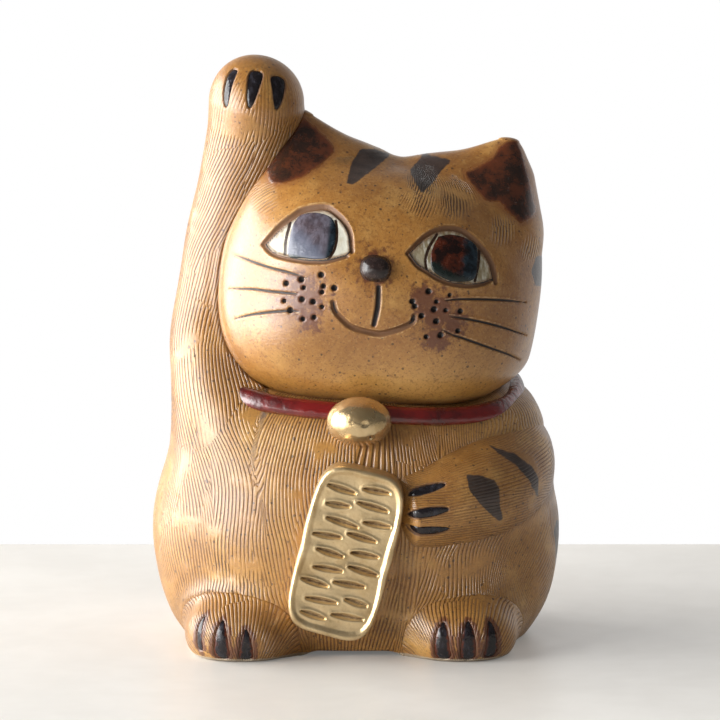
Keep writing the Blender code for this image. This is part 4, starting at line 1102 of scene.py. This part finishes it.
def claw(name, lump, point, normal, upward, length, taper, rust):
    """A slot in the lump, and the glaze in it: rings across the claw, flat above and below."""
    obj, gap = lumps[lump][:2]
    across, up, out = frame_on(normal, upward)
    clay_points, clay_normals = points_of(obj), normals_of(obj)
    away = clay_points - point
    share = away @ up / length + 0.5
    within = np.clip(share, 0, 1)
    side = np.abs(away @ across)
    edge = np.where(share == within, side - claw_half(within, *taper), np.hypot(side, (share - within) * length))
    edge[(np.abs(away @ out) > 4) | (clay_normals @ out < 0.2)] = 9
    move_points(obj, clay_points - out * (0.9 * (1 - ease(edge, -0.45, 0.2)))[:, None])
    for kind, amount in (("groove", cone(0.30 - np.abs(edge))), ("burr", 0.85 - np.abs(edge - 0.5) / 0.7),
                         ("stain", rust * (1.6 - edge / 1.3))):
        layer = obj.data.attributes.get(kind)
        before = np.zeros(len(clay_points), np.float32)
        if layer:
            layer.data.foreach_get("value", before)
        write_value(obj, kind, np.maximum(before, np.clip(amount, 0, 1)))
    share = (1 - np.cos(np.linspace(0, math.pi, CLAW_ROWS + 2)))[1:-1, None] / 2
    turn = full_turn(CLAW_COLUMNS)[None, :]
    sideways = claw_half(share, *taper) * signed_power(np.sin(turn), 0.9)
    closing = np.sqrt(1 - np.abs(2 * share - 1) ** 8)
    raised = CLAW_THICK / 2 * (closing * signed_power(np.cos(turn), 0.6) - 1) - CLAW_SINK
    along = np.broadcast_to((share - 0.5) * length, sideways.shape)
    places = point + sideways.reshape(-1, 1) * across + along.reshape(-1, 1) * up
    ends = point + np.array([[-0.5], [0.5]]) * length * up
    grid = (lay_on(gap, places, out) + raised.reshape(-1, 1) * out).reshape(*sideways.shape, 3)
    tips = lay_on(gap, ends, out) - (CLAW_THICK / 2 + CLAW_SINK) * out
    made = skin(name, grid, claw_glaze, name, first=tips[0], last=tips[1])
    rusty = rust * (0.30 + 0.85 * np.abs(np.sin(turn)) ** 2 + 0 * share)
    write_value(made, "rust", np.append(rusty.ravel(), [rust, rust]))


def torso_normal(angle, height):
    """Outward direction of the torso: cross product of its runs round and up."""
    along = torso_place(angle + 0.01, height) - torso_place(angle - 0.01, height)
    return unit(np.cross(along, torso_place(angle, height + 0.5) - torso_place(angle, height - 0.5)))


PAW_MIDDLE, PAW_RADIUS = RAISED_ARM[-1, :3], RAISED_ARM[-1, 3]
RAISED_CLAWS = (  # place across and above the paw's middle, slant, length, widths below and above
    (-7.9, 6.0, -0.07, 11.8, 2.3, 3.5), (-0.6, 6.0, 0.15, 11.8, 2.3, 4.9), (6.8, 4.7, 0.28, 10.4, 2.2, 5.8),
)
for number, (across, rise, slant, length, low, high) in enumerate(RAISED_CLAWS, start=1):
    normal = np.array([across, -math.sqrt(PAW_RADIUS**2 - across**2 - rise**2), rise]) / PAW_RADIUS
    claw(f"raised_paw_claw_{number}", "raised_arm", PAW_MIDDLE + normal * PAW_RADIUS, normal,
         np.array([slant, 0.0, 1.0]), length, (low, high, 3.0, 5.0), 0.0)

COIN_CLAWS = ((49.9, 0.33, 10.6), (42.9, 0.14, 11.4), (37.7, -0.05, 12.0))  # height, slant, length
COIN_CLAW_ANGLE = 26.5  # degrees round the torso from the front
coin_angle = math.radians(COIN_CLAW_ANGLE)
coin_table = COIN_ARM[::-1]
middle_height, coil_radius, coil_depth = (
    np.interp(COIN_CLAW_ANGLE, coin_table[:, 0], coin_table[:, i]) for i in (1, 2, 3))
for number, (height, slant, length) in enumerate(COIN_CLAWS, start=1):
    normal = torso_normal(coin_angle, height)
    point = (torso_place(coin_angle, height, -coil_depth)
             + normal * math.sqrt(coil_radius**2 - (height - middle_height) ** 2))
    normal = normal + np.array([0, 0, (height - middle_height) / coil_radius])
    claw(f"coin_paw_claw_{number}", "coin_arm", point, normal, np.array([1.0, 0.0, slant]), length,
         (2.9, 2.7, 2.6, 1.5), 0.0)

FOOT_CLAWS = {  # place across and above the foot's middle, length, widths below and above
    "right": ((-12.3, 1.4, 10.4, 3.0, 1.8), (-5.9, 0.0, 11.4, 5.6, 2.8), (1.4, -1.4, 9.4, 5.0, 2.2)),
    "left": ((-5.5, -0.3, 11.0, 5.6, 3.4), (2.2, -0.2, 11.2, 5.2, 3.4), (9.2, -0.1, 10.6, 5.2, 2.8)),
}
for side_name, claws in FOOT_CLAWS.items():
    for number, (across, rise, length, low, high) in enumerate(claws, start=1):
        flat = (abs(across) / FOOT_HALF[0]) ** FOOT_SQUARENESS + (abs(rise) / FOOT_HALF[2]) ** FOOT_SQUARENESS
        place = np.array([across, -FOOT_HALF[1] * (1 - flat) ** (1 / FOOT_SQUARENESS), rise])
        normal = signed_power(place / FOOT_HALF, FOOT_SQUARENESS - 1) / FOOT_HALF
        claw(f"{side_name}_foot_claw_{number}", side_name + "_foot", foot_middle(side_name) + place, normal,
             np.array([0.0, 0.0, 1.0]), length, (low, high, 7.0, 2.2), 0.85)

# Eyes. The almond inside the lids is filled with white glaze, and a thick drop of iron glaze on it
# makes the iris, red-brown with a blue-black side.
IRISES = {  # middle of the iris, and its outline, in mm across and up
    "right": ((-21.2, 15.0), drawn(
        (-26.1, 19.3), (-24.8, 20.5), (-21.3, 21.6), (-17.6, 21.5), (-15.6, 20.3), (-14.6, 17.6), (-14.6, 13.6),
        (-15.9, 10.1), (-19.5, 9.0), (-23.1, 8.6), (-27.1, 8.2), (-27.6, 12.5), (-27.2, 16.9), (-26.1, 19.3),
        count=60)),
    "left": ((20.2, 14.4), drawn(
        (14.6, 20.0), (17.5, 20.8), (20.9, 20.7), (24.3, 19.6), (26.3, 17.9), (26.9, 14.2), (26.8, 9.4), (22.6, 8.1),
        (19.3, 8.2), (14.7, 10.3), (13.2, 13.7), (13.4, 16.9), (14.6, 20.0), count=60)),
}
NICKS = {  # dark strokes on the white beside the iris
    "right": (drawn((-27.9, 17.6), (-28.4, 14.2), (-28.5, 11.7), (-28.2, 8.8)),
              drawn((-15.0, 20.4), (-14.2, 17.0), (-14.3, 13.0), (-15.6, 9.6))),
    "left": (drawn((14.1, 20.4), (12.4, 16.8), (11.9, 13.5), (12.6, 10.6)),
             drawn((26.9, 18.0), (27.3, 14.0), (27.0, 8.8))),
}
EYE_MIDDLE_HEIGHT = 14.4  # on the face, of the place that the rings of an eye's white spread from


def on_face(across, up, out):
    """Points over the upper face in the model's frame, so far out along its outward directions."""
    across, up, out = (value.ravel() for value in np.broadcast_arrays(across, up, out))
    ring = (np.abs(across) / HEAD_HALF_WIDTH) ** CROWN_SQUARENESS + (np.abs(up) / HEAD_UP) ** CROWN_SQUARENESS
    depth = -HEAD_FRONT * (1 - ring ** (DEPTH_SQUARENESS / CROWN_SQUARENESS)) ** (1 / DEPTH_SQUARENESS)
    local = np.column_stack([across, depth, up])
    outward = unit(slope_of(head_level, from_head(local))[1])
    return from_head(local) + outward * (hand_waves(from_head(local)) + out)[:, None]


def pool(name, outline, centre, levels, inset, glaze):
    """A pool of glaze on the face: rings from its middle out to its edge and back underneath, each
    with its share of the outline's reach, less the inset, and its height over the clay."""
    turn = full_turn(160)
    away = outline - np.array(centre)
    reach = np.interp(turn, np.arctan2(away[:, 0], away[:, 1]), np.hypot(*away.T), period=2 * math.pi) - inset
    share, out = np.array(levels).T[:, :, None]
    across = centre[0] + share * reach * np.sin(turn)
    up = centre[1] + share * reach * np.cos(turn)
    grid = on_face(across, up, np.broadcast_to(out, across.shape)).reshape(*across.shape, 3)
    tips = on_face(np.full(2, centre[0]), np.full(2, centre[1]), np.array([levels[0][1], levels[-1][1]]))
    made = skin(name, grid, glaze, name, first=tips[0], last=tips[1])
    flat = np.vstack([np.column_stack([across.ravel(), up.ravel()]), [centre, centre]])
    return made, flat


EYE_WHITE, EYE_CREAM, EYE_SHADE_PAINT = (0.72, 0.70, 0.60), (0.56, 0.50, 0.36), (0.27, 0.215, 0.125)
EYE_RIM, EYE_INK = (0.22, 0.11, 0.045), (0.035, 0.016, 0.008)

white_glaze = Glaze("white_eye_glaze")
ink = white_glaze.step(white_glaze.attribute("line"), 0.35, 0.62)
tint = white_glaze.step(white_glaze.noise(0.35, 4.0), 0.42, 0.72)
# patches of the painted shade on the left eye's white, drawn out upright
shade_patches = white_glaze.step(white_glaze.noise(0.9, 3.0, upright=0.25), 0.25, 0.65)
patchy = white_glaze.times(white_glaze.noise(0.7, 3.0), 0.7, -0.35)
rim = white_glaze.step(white_glaze.calc("ADD", white_glaze.attribute("rim"), patchy), 0.35, 0.9)
colour = white_glaze.blend(tint, EYE_WHITE, EYE_CREAM)
# painted shade on the eye's white: full on the left eye, which faces away from the window, and faint on the right
painted_shade = (EYE_SHADE_PAINT, white_glaze.attribute("dim"), shade_patches)
for coat, amount, share in (painted_shade, (EYE_RIM, rim, 0.75), (EYE_INK, ink, 1.0)):
    colour = white_glaze.over(colour, coat, amount, share)
height = white_glaze.times(ink, -1.0, white_glaze.noise(0.8))
white_glaze.finish(colour, white_glaze.times(tint, 0.10, 0.24), height, 0.15)

IRIS_DARK, IRIS_RED, IRIS_FOOT = (0.014, 0.005, 0.004), (0.095, 0.018, 0.006), (0.008, 0.014, 0.012)
IRIS_BLUE_DARK, IRIS_BLUE = (0.007, 0.011, 0.016), (0.020, 0.036, 0.050)
# Painted reflection of the window on the right eye's iris: pale grey-violet, bluer towards its lower left.
REFLECTION_DARK, REFLECTION_PALE, REFLECTION_COOL = (0.066, 0.052, 0.064), (0.150, 0.135, 0.168), (0.170, 0.200, 0.280)

iris_glaze = Glaze("iron_iris_glaze")
shifted = iris_glaze.calc("SUBTRACT", iris_glaze.attribute("across"), 0.25)
aside = iris_glaze.calc("ADD", iris_glaze.noise(0.30, 4.0), shifted)
low = iris_glaze.times(iris_glaze.noise(0.28, 3.0), 0.6, iris_glaze.attribute("down"))
mottle = iris_glaze.step(iris_glaze.noise(0.32, 4.0, 0.6), 0.38, 0.64)
# streaks in the painted reflection, drawn out upright
reflection_streaks = iris_glaze.step(iris_glaze.noise(0.7, 3.0, upright=0.15), 0.35, 0.70)
cool_reflection = iris_glaze.step(iris_glaze.times(aside, -0.25, low), 0.10, 0.75)
painted_reflection = iris_glaze.over(iris_glaze.blend(reflection_streaks, REFLECTION_DARK, REFLECTION_PALE), REFLECTION_COOL, cool_reflection, 0.55)
colour = iris_glaze.blend(mottle, IRIS_DARK, IRIS_RED)
for coat, amount in ((iris_glaze.blend(mottle, IRIS_BLUE_DARK, IRIS_BLUE), iris_glaze.step(aside, 0.46, 0.76)),
                     (IRIS_FOOT, iris_glaze.step(low, 0.66, 0.90)), (painted_reflection, iris_glaze.attribute("painted_reflection"))):
    colour = iris_glaze.over(colour, coat, amount)
iris_glaze.finish(colour, iris_glaze.times(mottle, 0.08, 0.20), iris_glaze.noise(0.9, 3.0), 0.10)

# Shares of a pool's reach and heights over the clay, from its middle out, over its edge and back under.
rings = np.linspace(0.04, 0.98, 34)
white_levels = [(share, -0.62 + 0.22 * ease(share, 0.85, 1.0)) for share in rings]
white_levels += [(1.0, -0.7), (1.0, -1.9), (0.04, -1.9)]
iris_levels = [(share, -0.55 + 0.5 * math.sqrt(1 - share**8)) for share in rings]
iris_levels += [(1.0, -0.75), (1.0, -1.4), (0.04, -1.4)]
for side_name, (centre, iris_outline) in IRISES.items():
    almond = np.vstack([UPPER_LIDS[side_name], LOWER_LIDS[side_name][::-1]])
    white, flat = pool(side_name + "_eye_white", almond, (centre[0], EYE_MIDDLE_HEIGHT), white_levels, LID_SHELF,
                       white_glaze)
    inked = np.zeros(len(flat))
    for nick in NICKS[side_name]:
        inked = np.maximum(inked, np.clip(1 - line_gap(flat, nick)[0] / 0.8, 0, 1))
    write_value(white, "line", inked)
    # painted shade: full on the left eye's white, away from the window, and faint on the right eye's
    write_value(white, "dim", np.full(len(flat), 1.0 if side_name == "left" else 0.12))
    write_value(white, "rim", np.clip(1 + (area_gap(flat, almond) + LID_SHELF) / 1.6, 0, 1))
    iris, flat = pool(side_name + "_iris", iris_outline, centre, iris_levels, 0.0, iris_glaze)
    across, up = (flat - centre).T
    # the painted reflection of the window covers the right eye's iris but for its right and lower edges
    write_value(iris, "painted_reflection", 0.9 * (side_name == "right") * (1 - ease(across, 4.0, 5.4)) * ease(up, -6.4, -5.6))
    write_value(iris, "across", across / 6.6)
    write_value(iris, "down", -up / 7.0 - 0.3 * across / 6.6)

# Nose. A rounded square button of clay pressed on the face and dipped in iron-black glaze.
NOSE_PLACE, NOSE_WIDTH, NOSE_HEIGHT, NOSE_PROUD, NOSE_ROOT, NOSE_SQUARENESS = (-2.0, 8.9), 9.4, 7.9, 3.4, 2.0, 2.4
NOSE_BLACK, NOSE_BLOOM = (0.022, 0.014, 0.013), (0.045, 0.026, 0.022)


def ball(half, squareness, rows, columns):
    """A ball's grid and its two ends: a superellipsoid whose ends are its lowest and highest points."""
    direction = directions(np.linspace(0, math.pi, rows + 2)[1:-1], full_turn(columns)) * [1, 1, -1]
    return superellipsoid(direction, half, squareness), np.array([0, 0, -half[2]]), np.array([0, 0, half[2]])


nose_glaze = Glaze("black_nose_glaze")
bloom = nose_glaze.step(nose_glaze.noise(0.5, 4.0, 0.6), 0.40, 0.72)
nose_glaze.finish(nose_glaze.blend(bloom, NOSE_BLACK, NOSE_BLOOM), nose_glaze.times(bloom, 0.12, 0.20),
                  nose_glaze.noise(0.6), 0.08)

half = np.array([NOSE_WIDTH / 2, NOSE_PROUD + NOSE_ROOT, NOSE_HEIGHT / 2])
middle = to_head(on_face(NOSE_PLACE[0], NOSE_PLACE[1], 0.0))[0] + [0, NOSE_ROOT, 0]
grid, low_end, high_end = ball(half, NOSE_SQUARENESS, 60, 96)
skin("nose", from_head(grid + middle), nose_glaze, "nose_button",
     first=from_head(low_end + middle), last=from_head(high_end + middle))

# Collar. A flat strap of clay bent round the neck's crease and covered in oxblood glaze.
COLLAR_HALF_THICKNESS, COLLAR_HALF_WIDTH, COLLAR_OUT, COLLAR_DROP, COLLAR_UPRIGHT = 2.2, 2.8, 1.0, 2.4, 0.6
COLLAR_DRAWN_IN = 1.4  # how much deeper the collar lies under the left cheek
collar_angles = full_turn(420)
OXBLOOD, OXBLOOD_DEEP, OXBLOOD_THIN = (0.190, 0.009, 0.008), (0.060, 0.004, 0.004), (0.22, 0.075, 0.030)


def crease_height(angle):
    """Height at which the torso dips under the jaw, found by halving."""
    low, high = np.full(angle.shape, 40.0), np.full(angle.shape, 80.0)
    for halving in range(20):
        middle = (low + high) / 2
        under = head_level(torso_place(angle, middle)) < 0
        low, high = np.where(under, low, middle), np.where(under, middle, high)
    return low


def collar_line(angle):
    """Middle of the collar, and its outward and upward directions, at angles from the front."""
    height = crease_height(angle) - COLLAR_DROP
    rise = unit(torso_place(angle, height + 1) - torso_place(angle, height - 1))
    upright = unit(rise * (1 - COLLAR_UPRIGHT) + np.array([0, 0, COLLAR_UPRIGHT]))
    along = torso_place(angle + 0.0175, height) - torso_place(angle - 0.0175, height)
    out = unit(np.cross(along, upright))
    drawn_in = COLLAR_DRAWN_IN * np.exp(-(((angle - 1.35) / 0.45) ** 2))[:, None]
    return torso_place(angle, height) + out * (COLLAR_OUT - drawn_in), out, upright


oxblood = Glaze("oxblood_collar_glaze")
pooled = oxblood.step(oxblood.noise(0.10, 4.0, 0.6), 0.38, 0.66)
thin = oxblood.step(oxblood.times(oxblood.noise(0.5, 3.0), 0.5, oxblood.attribute("edge")), 0.95, 1.25)
colour = oxblood.over(oxblood.blend(pooled, OXBLOOD, OXBLOOD_DEEP), OXBLOOD_THIN, thin, 0.6)
oxblood.finish(colour, oxblood.times(pooled, 0.10, 0.20), oxblood.noise(0.45, 3.0), 0.25, Specular_IOR_Level=0.9)

middles, outs, uprights = collar_line(collar_angles)
around = full_turn(40)
worked = 1 + 0.05 * np.sin(collar_angles * 7 + 1) + 0.04 * np.sin(collar_angles * 13)
thick = COLLAR_HALF_THICKNESS * signed_power(np.cos(around), 0.85) * worked[:, None]
wide = COLLAR_HALF_WIDTH * signed_power(np.sin(around), 0.85) * worked[:, None]
grid = middles[:, None] + outs[:, None] * thick[..., None] + uprights[:, None] * wide[..., None]
collar = skin("collar", grid, oxblood, "collar_band", loop=True)
write_value(collar, "edge", np.tile(np.abs(np.sin(around)), len(collar_angles)))

# Bell. A ball of clay pressed flat on the collar, with a seam round it, covered in gold lustre.
BELL_HALF = np.array([8.8, 7.0, 6.8])
BELL_SHIFT, BELL_BAND = np.array([0.9, -4.0, -2.0]), 0.5
GOLD, GOLD_DEEP, GOLD_HOLLOW_DARK = (0.80, 0.61, 0.35), (0.50, 0.32, 0.13), (0.10, 0.045, 0.014)

gold = Glaze("gold_lustre")
broad = gold.step(gold.noise(0.12, 4.0, 0.6), 0.40, 0.68)
fine = gold.noise(0.9, 4.0, 0.6)
# The lustre is darker and less metallic in the hollows: the coin's chisel strokes, the bell's hole and its dimple.
dark_in_hollows = gold.step(gold.calc("ADD", gold.attribute("dark_in_hollows"), gold.times(fine, 0.5, -0.25)), 0.35, 0.8)
colour = gold.over(GOLD, GOLD_DEEP, broad, 0.55)
colour = gold.over(colour, GOLD_DEEP, gold.step(fine, 0.52, 0.75), 0.35)
colour = gold.over(colour, GOLD_HOLLOW_DARK, dark_in_hollows)
rough = gold.times(gold.attribute("matt"), 0.17, 0.20)
for amount, share in ((broad, 0.10), (dark_in_hollows, 0.25)):
    rough = gold.times(amount, share, rough)
height = gold.times(gold.noise(0.35), 1.4, gold.times(fine, 0.4))
gold.finish(colour, rough, height, 0.16, Metallic=gold.times(dark_in_hollows, -0.6, 0.85))

grid, low_end, high_end = ball(BELL_HALF, 2.0, 110, 180)
radial = unit(grid)
grid = grid + radial * (BELL_BAND * np.exp(-((grid[..., 1] / 1.5) ** 2)))[..., None]
dimple = np.hypot(grid[..., 0] - 1.6, grid[..., 2] - 0.4) + 9 * (grid[..., 1] > 0)
hole = np.hypot(grid[..., 0] - 3.4, grid[..., 2] + 3.9) + 9 * (grid[..., 1] > 0)
grid = grid - radial * (0.45 * np.exp(-((dimple / 0.9) ** 2)) + 0.7 * np.exp(-((hole / 0.5) ** 2)))[..., None]
middle = collar_line(np.zeros(1))[0][0] + BELL_SHIFT
bell = skin("bell", grid + middle, gold, "bell", first=low_end + middle, last=high_end + middle)
# darker in the bell's hole and, half as much, in its dimple
marks = np.maximum(np.exp(-((hole / 0.45) ** 2)), 0.5 * np.exp(-((dimple / 0.5) ** 2)))
write_value(bell, "dark_in_hollows", np.append(marks.ravel(), [0, 0]))
write_value(bell, "matt", np.zeros(marks.size + 2))

# Coin. An oblong slab with a raised rim, held against the belly by the left paw. Its field is dressed
# with short strokes of a chisel across it, as such coins are, and it is covered in gold lustre.
COIN_PLACE, COIN_WIDTH, COIN_LENGTH, COIN_SQUARENESS = (-2.8, 32.0), 26.8, 50.0, 4.4
COIN_THICKNESS, COIN_ROOT, COIN_TILT = 4.2, 3.0, math.radians(14.0)  # its root is sunk in the belly
COIN_RIM, COIN_FIELD_DEPTH = 2.2, 0.75
COIN_STROKE_ROWS, COIN_STROKE_PITCH, COIN_STROKE_DEPTH = 9, 4.7, 0.95
COIN_STROKE_ASIDE, COIN_STROKE_HALF_LENGTH, COIN_STROKE_HALF_WIDTH = 4.9, 3.9, 1.05
COIN_BEVEL = 1.1  # radius of the rounded edge

angle = math.atan2(COIN_PLACE[0], -torso_place(0.0, COIN_PLACE[1])[1])
normal = torso_normal(angle, COIN_PLACE[1])
base = torso_place(angle, COIN_PLACE[1]) - normal * COIN_ROOT
axes = frame_on(normal, np.array([math.sin(COIN_TILT), 0, math.cos(COIN_TILT)]))
turn = full_turn(400)
reach = section_radius(turn, COIN_WIDTH / 2, COIN_LENGTH / 2, COIN_LENGTH / 2, COIN_SQUARENESS)
reach = reach - 0.15 + 0.08 * np.sin(5 * turn + 1.0) + 0.05 * np.sin(9 * turn)
top = COIN_THICKNESS + COIN_ROOT
share = np.linspace(0.01, 1.0, 110)
inset = reach * (1 - share[:, None])  # how far in from the edge
flat = np.stack([share[:, None] * reach * np.sin(turn), share[:, None] * reach * np.cos(turn)], axis=-1)
bevel = np.sqrt(np.clip(1 - (1 - inset / COIN_BEVEL).clip(0, 1) ** 2, 0, 1))
height = top - COIN_FIELD_DEPTH * ease(inset, COIN_RIM * 0.55, COIN_RIM * 1.3) - COIN_BEVEL * (1 - bevel)
height += 0.20 * np.sin(flat[..., 0] / 2.3 + flat[..., 1] / 3.1) * np.sin(flat[..., 1] / 2.7 - flat[..., 0] / 4.1)
struck = np.zeros(height.shape)
for number in range(COIN_STROKE_ROWS):
    for column in (-1, 1):
        split = 1.8 * math.sin(number * 2.3)
        row = (number - COIN_STROKE_ROWS // 2) * COIN_STROKE_PITCH
        middle = np.array([split + column * COIN_STROKE_ASIDE, row + column * 0.9])
        uneven = 0.5 * math.sin(number * 1.9 + 2 * column)
        half_length = COIN_STROKE_HALF_LENGTH - 0.6 * column * math.sin(number * 2.3) + uneven
        slant = 0.09 * math.sin(number * 3.1 + column)
        ends = middle + np.array([[-half_length, -slant * half_length], [half_length, slant * half_length]])
        far, along = line_gap(flat.reshape(-1, 2), ends)
        width = COIN_STROKE_HALF_WIDTH * (1 - 0.5 * np.abs(2 * along - 1) ** 2)
        struck = np.maximum(struck, np.clip(1 - far / width, 0, 1).reshape(height.shape) * (inset > COIN_RIM))
        height += 0.16 * np.exp(-(((far - width - 0.2) / 0.45) ** 2)).reshape(height.shape) * (inset > COIN_RIM)
height -= COIN_STROKE_DEPTH * ease(struck, 0, 0.85)
sides = np.stack([np.stack([reach * np.sin(turn), reach * np.cos(turn)], axis=-1)] * 8)
side_height = np.linspace(top - 1.4, 0.0, 8)[:, None] * np.ones(len(turn))
flat, height = np.concatenate([flat[:-1], sides]), np.concatenate([height[:-1], side_height])
grid = base + flat[..., :1] * axes[0] + flat[..., 1:] * axes[1] + height[..., None] * axes[2]
coin = skin("coin", grid, gold, "oblong_coin", first=base + axes[2] * height[0, 0], last=base)
# darker and less metallic in the chisel strokes
dark_in_hollows = np.concatenate([struck[:-1], np.zeros((8, len(turn)))])
write_value(coin, "dark_in_hollows", np.append(0.8 * dark_in_hollows.ravel(), [0, 0]))
write_value(coin, "matt", np.ones(dark_in_hollows.size + 2))

# Stage. A long lens looks a little down on the cat. The light is a tall window at its right hand and a
# doorway beside it, in a bright room. The cat stands on a pale shelf whose far edge is the horizon.
LENS, SENSOR = 343.4, 36.0
CAMERA_ASIDE, CAMERA_AIM, CAMERA_DISTANCE, CAMERA_ELEVATION = 0.00116, 0.0804, 2.0, math.radians(9.0)
SHELF_HALF, SHELF_BACK = 3.0, 0.139
SHELF_GREY, SHELF_PALE, SHELF_LIGHT = (0.665, 0.640, 0.595), (0.725, 0.700, 0.655), (1.0, 0.985, 0.955, 1)

camera_data = bpy.data.cameras.new("camera")
camera_data.lens = LENS
camera_data.sensor_width = SENSOR
camera_data.clip_end = 20.0
camera = bpy.data.objects.new("camera", camera_data)
bpy.context.scene.collection.objects.link(camera)
camera.location = (CAMERA_ASIDE, -CAMERA_DISTANCE * math.cos(CAMERA_ELEVATION),
                   CAMERA_AIM + CAMERA_DISTANCE * math.sin(CAMERA_ELEVATION))
camera.rotation_euler = (math.pi / 2 - CAMERA_ELEVATION, 0, 0)
bpy.context.scene.camera = camera

world = bpy.data.worlds.new("studio")
bpy.context.scene.world = world
world.use_nodes = True
background = world.node_tree.nodes["Background"]
background.inputs["Color"].default_value = (1.0, 1.0, 1.0, 1)
rays = world.node_tree.nodes.new("ShaderNodeLightPath")
toward = world.node_tree.nodes.new("ShaderNodeTexCoord")
parts = world.node_tree.nodes.new("ShaderNodeSeparateXYZ")
world.node_tree.links.new(toward.outputs["Generated"], parts.inputs[0])


def between(value, low, high, least, most):
    """A strength that rises from least to most while the value goes from low to high."""
    made = world.node_tree.nodes.new("ShaderNodeMapRange")
    made.interpolation_type = "SMOOTHSTEP"
    for name, end in (("Value", value), ("From Min", low), ("From Max", high), ("To Min", least), ("To Max", most)):
        if isinstance(end, bpy.types.NodeSocket):
            world.node_tree.links.new(end, made.inputs[name])
        else:
            made.inputs[name].default_value = end
    return made.outputs[0]


# The room lights the cat from behind more than from the front, and shows dark in the front's gloss.
lighting = between(parts.outputs[1], -0.2, 0.6, 0.25, 0.80)
mirrored = between(parts.outputs[1], 0.2, 0.8, 0.08, between(parts.outputs[2], 0.25, 0.6, 0.8, 0.2))
unseen = between(rays.outputs["Is Glossy Ray"], 0.0, 1.0, lighting, mirrored)
level = between(rays.outputs["Is Camera Ray"], 0.0, 1.0, unseen, 1.0)
world.node_tree.links.new(level, background.inputs["Strength"])


def softbox(name, place, target, size, energy, colour):
    """A rectangle of light at a place, turned to a target, that the camera doesn't see."""
    light = bpy.data.lights.new(name, "AREA")
    light.shape = "RECTANGLE"
    light.size, light.size_y = size
    light.energy = energy
    light.color = colour
    made = bpy.data.objects.new(name, light)
    bpy.context.scene.collection.objects.link(made)
    made.location = place
    made.rotation_euler = (Vector(target) - Vector(place)).to_track_quat("-Z", "Y").to_euler()
    made.visible_camera = False


softbox("window", (-1.24, 0.02, 0.30), (0, 0, 0.08), (2.2, 1.1), 64.0, (1.0, 0.99, 0.97))
softbox("doorway", (-1.14, -0.74, 0.14), (0, 0, 0.04), (0.8, 0.9), 9.0, (0.92, 0.96, 1.0))

floor_mesh = bpy.data.meshes.new("floor")
floor_mesh.from_pydata([(-SHELF_HALF, -SHELF_HALF, 0), (SHELF_HALF, -SHELF_HALF, 0), (SHELF_HALF, SHELF_BACK, 0),
                        (-SHELF_HALF, SHELF_BACK, 0)], [], [(0, 1, 2, 3)])
floor = bpy.data.objects.new("floor", floor_mesh)
bpy.context.scene.collection.objects.link(floor)
shelf = Glaze("pale_shelf")
cloud = shelf.step(shelf.noise(0.02, 4.0, 0.6), 0.35, 0.7)
rays = shelf.node("LightPath").outputs
# The shelf's end towards the window glows like a lamp for glossy and diffuse rays: it lights the cat from the left
# and shows in its gloss. Camera rays see the whole shelf a little paler.
glowing_end = shelf.step(shelf.node("SeparateXYZ", i0=shelf.place).outputs[0], -130.0, -560.0)
lamp_glow = shelf.times(rays["Is Glossy Ray"], 5.0, shelf.times(rays["Is Diffuse Ray"], 0.45))
glow = shelf.times(rays["Is Camera Ray"], 0.13, shelf.times(lamp_glow, glowing_end))
shelf.finish(shelf.blend(cloud, SHELF_GREY, SHELF_PALE), shelf.times(shelf.noise(0.15, 3.0), 0.15, 0.32),
             shelf.noise(0.9, 3.0), 0.05, strength=0.4, Emission_Color=SHELF_LIGHT, Emission_Strength=glow)
floor_mesh.materials.append(shelf.material)
floor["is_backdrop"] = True
bpy.context.scene.view_settings.view_transform = "Standard"

low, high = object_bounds()
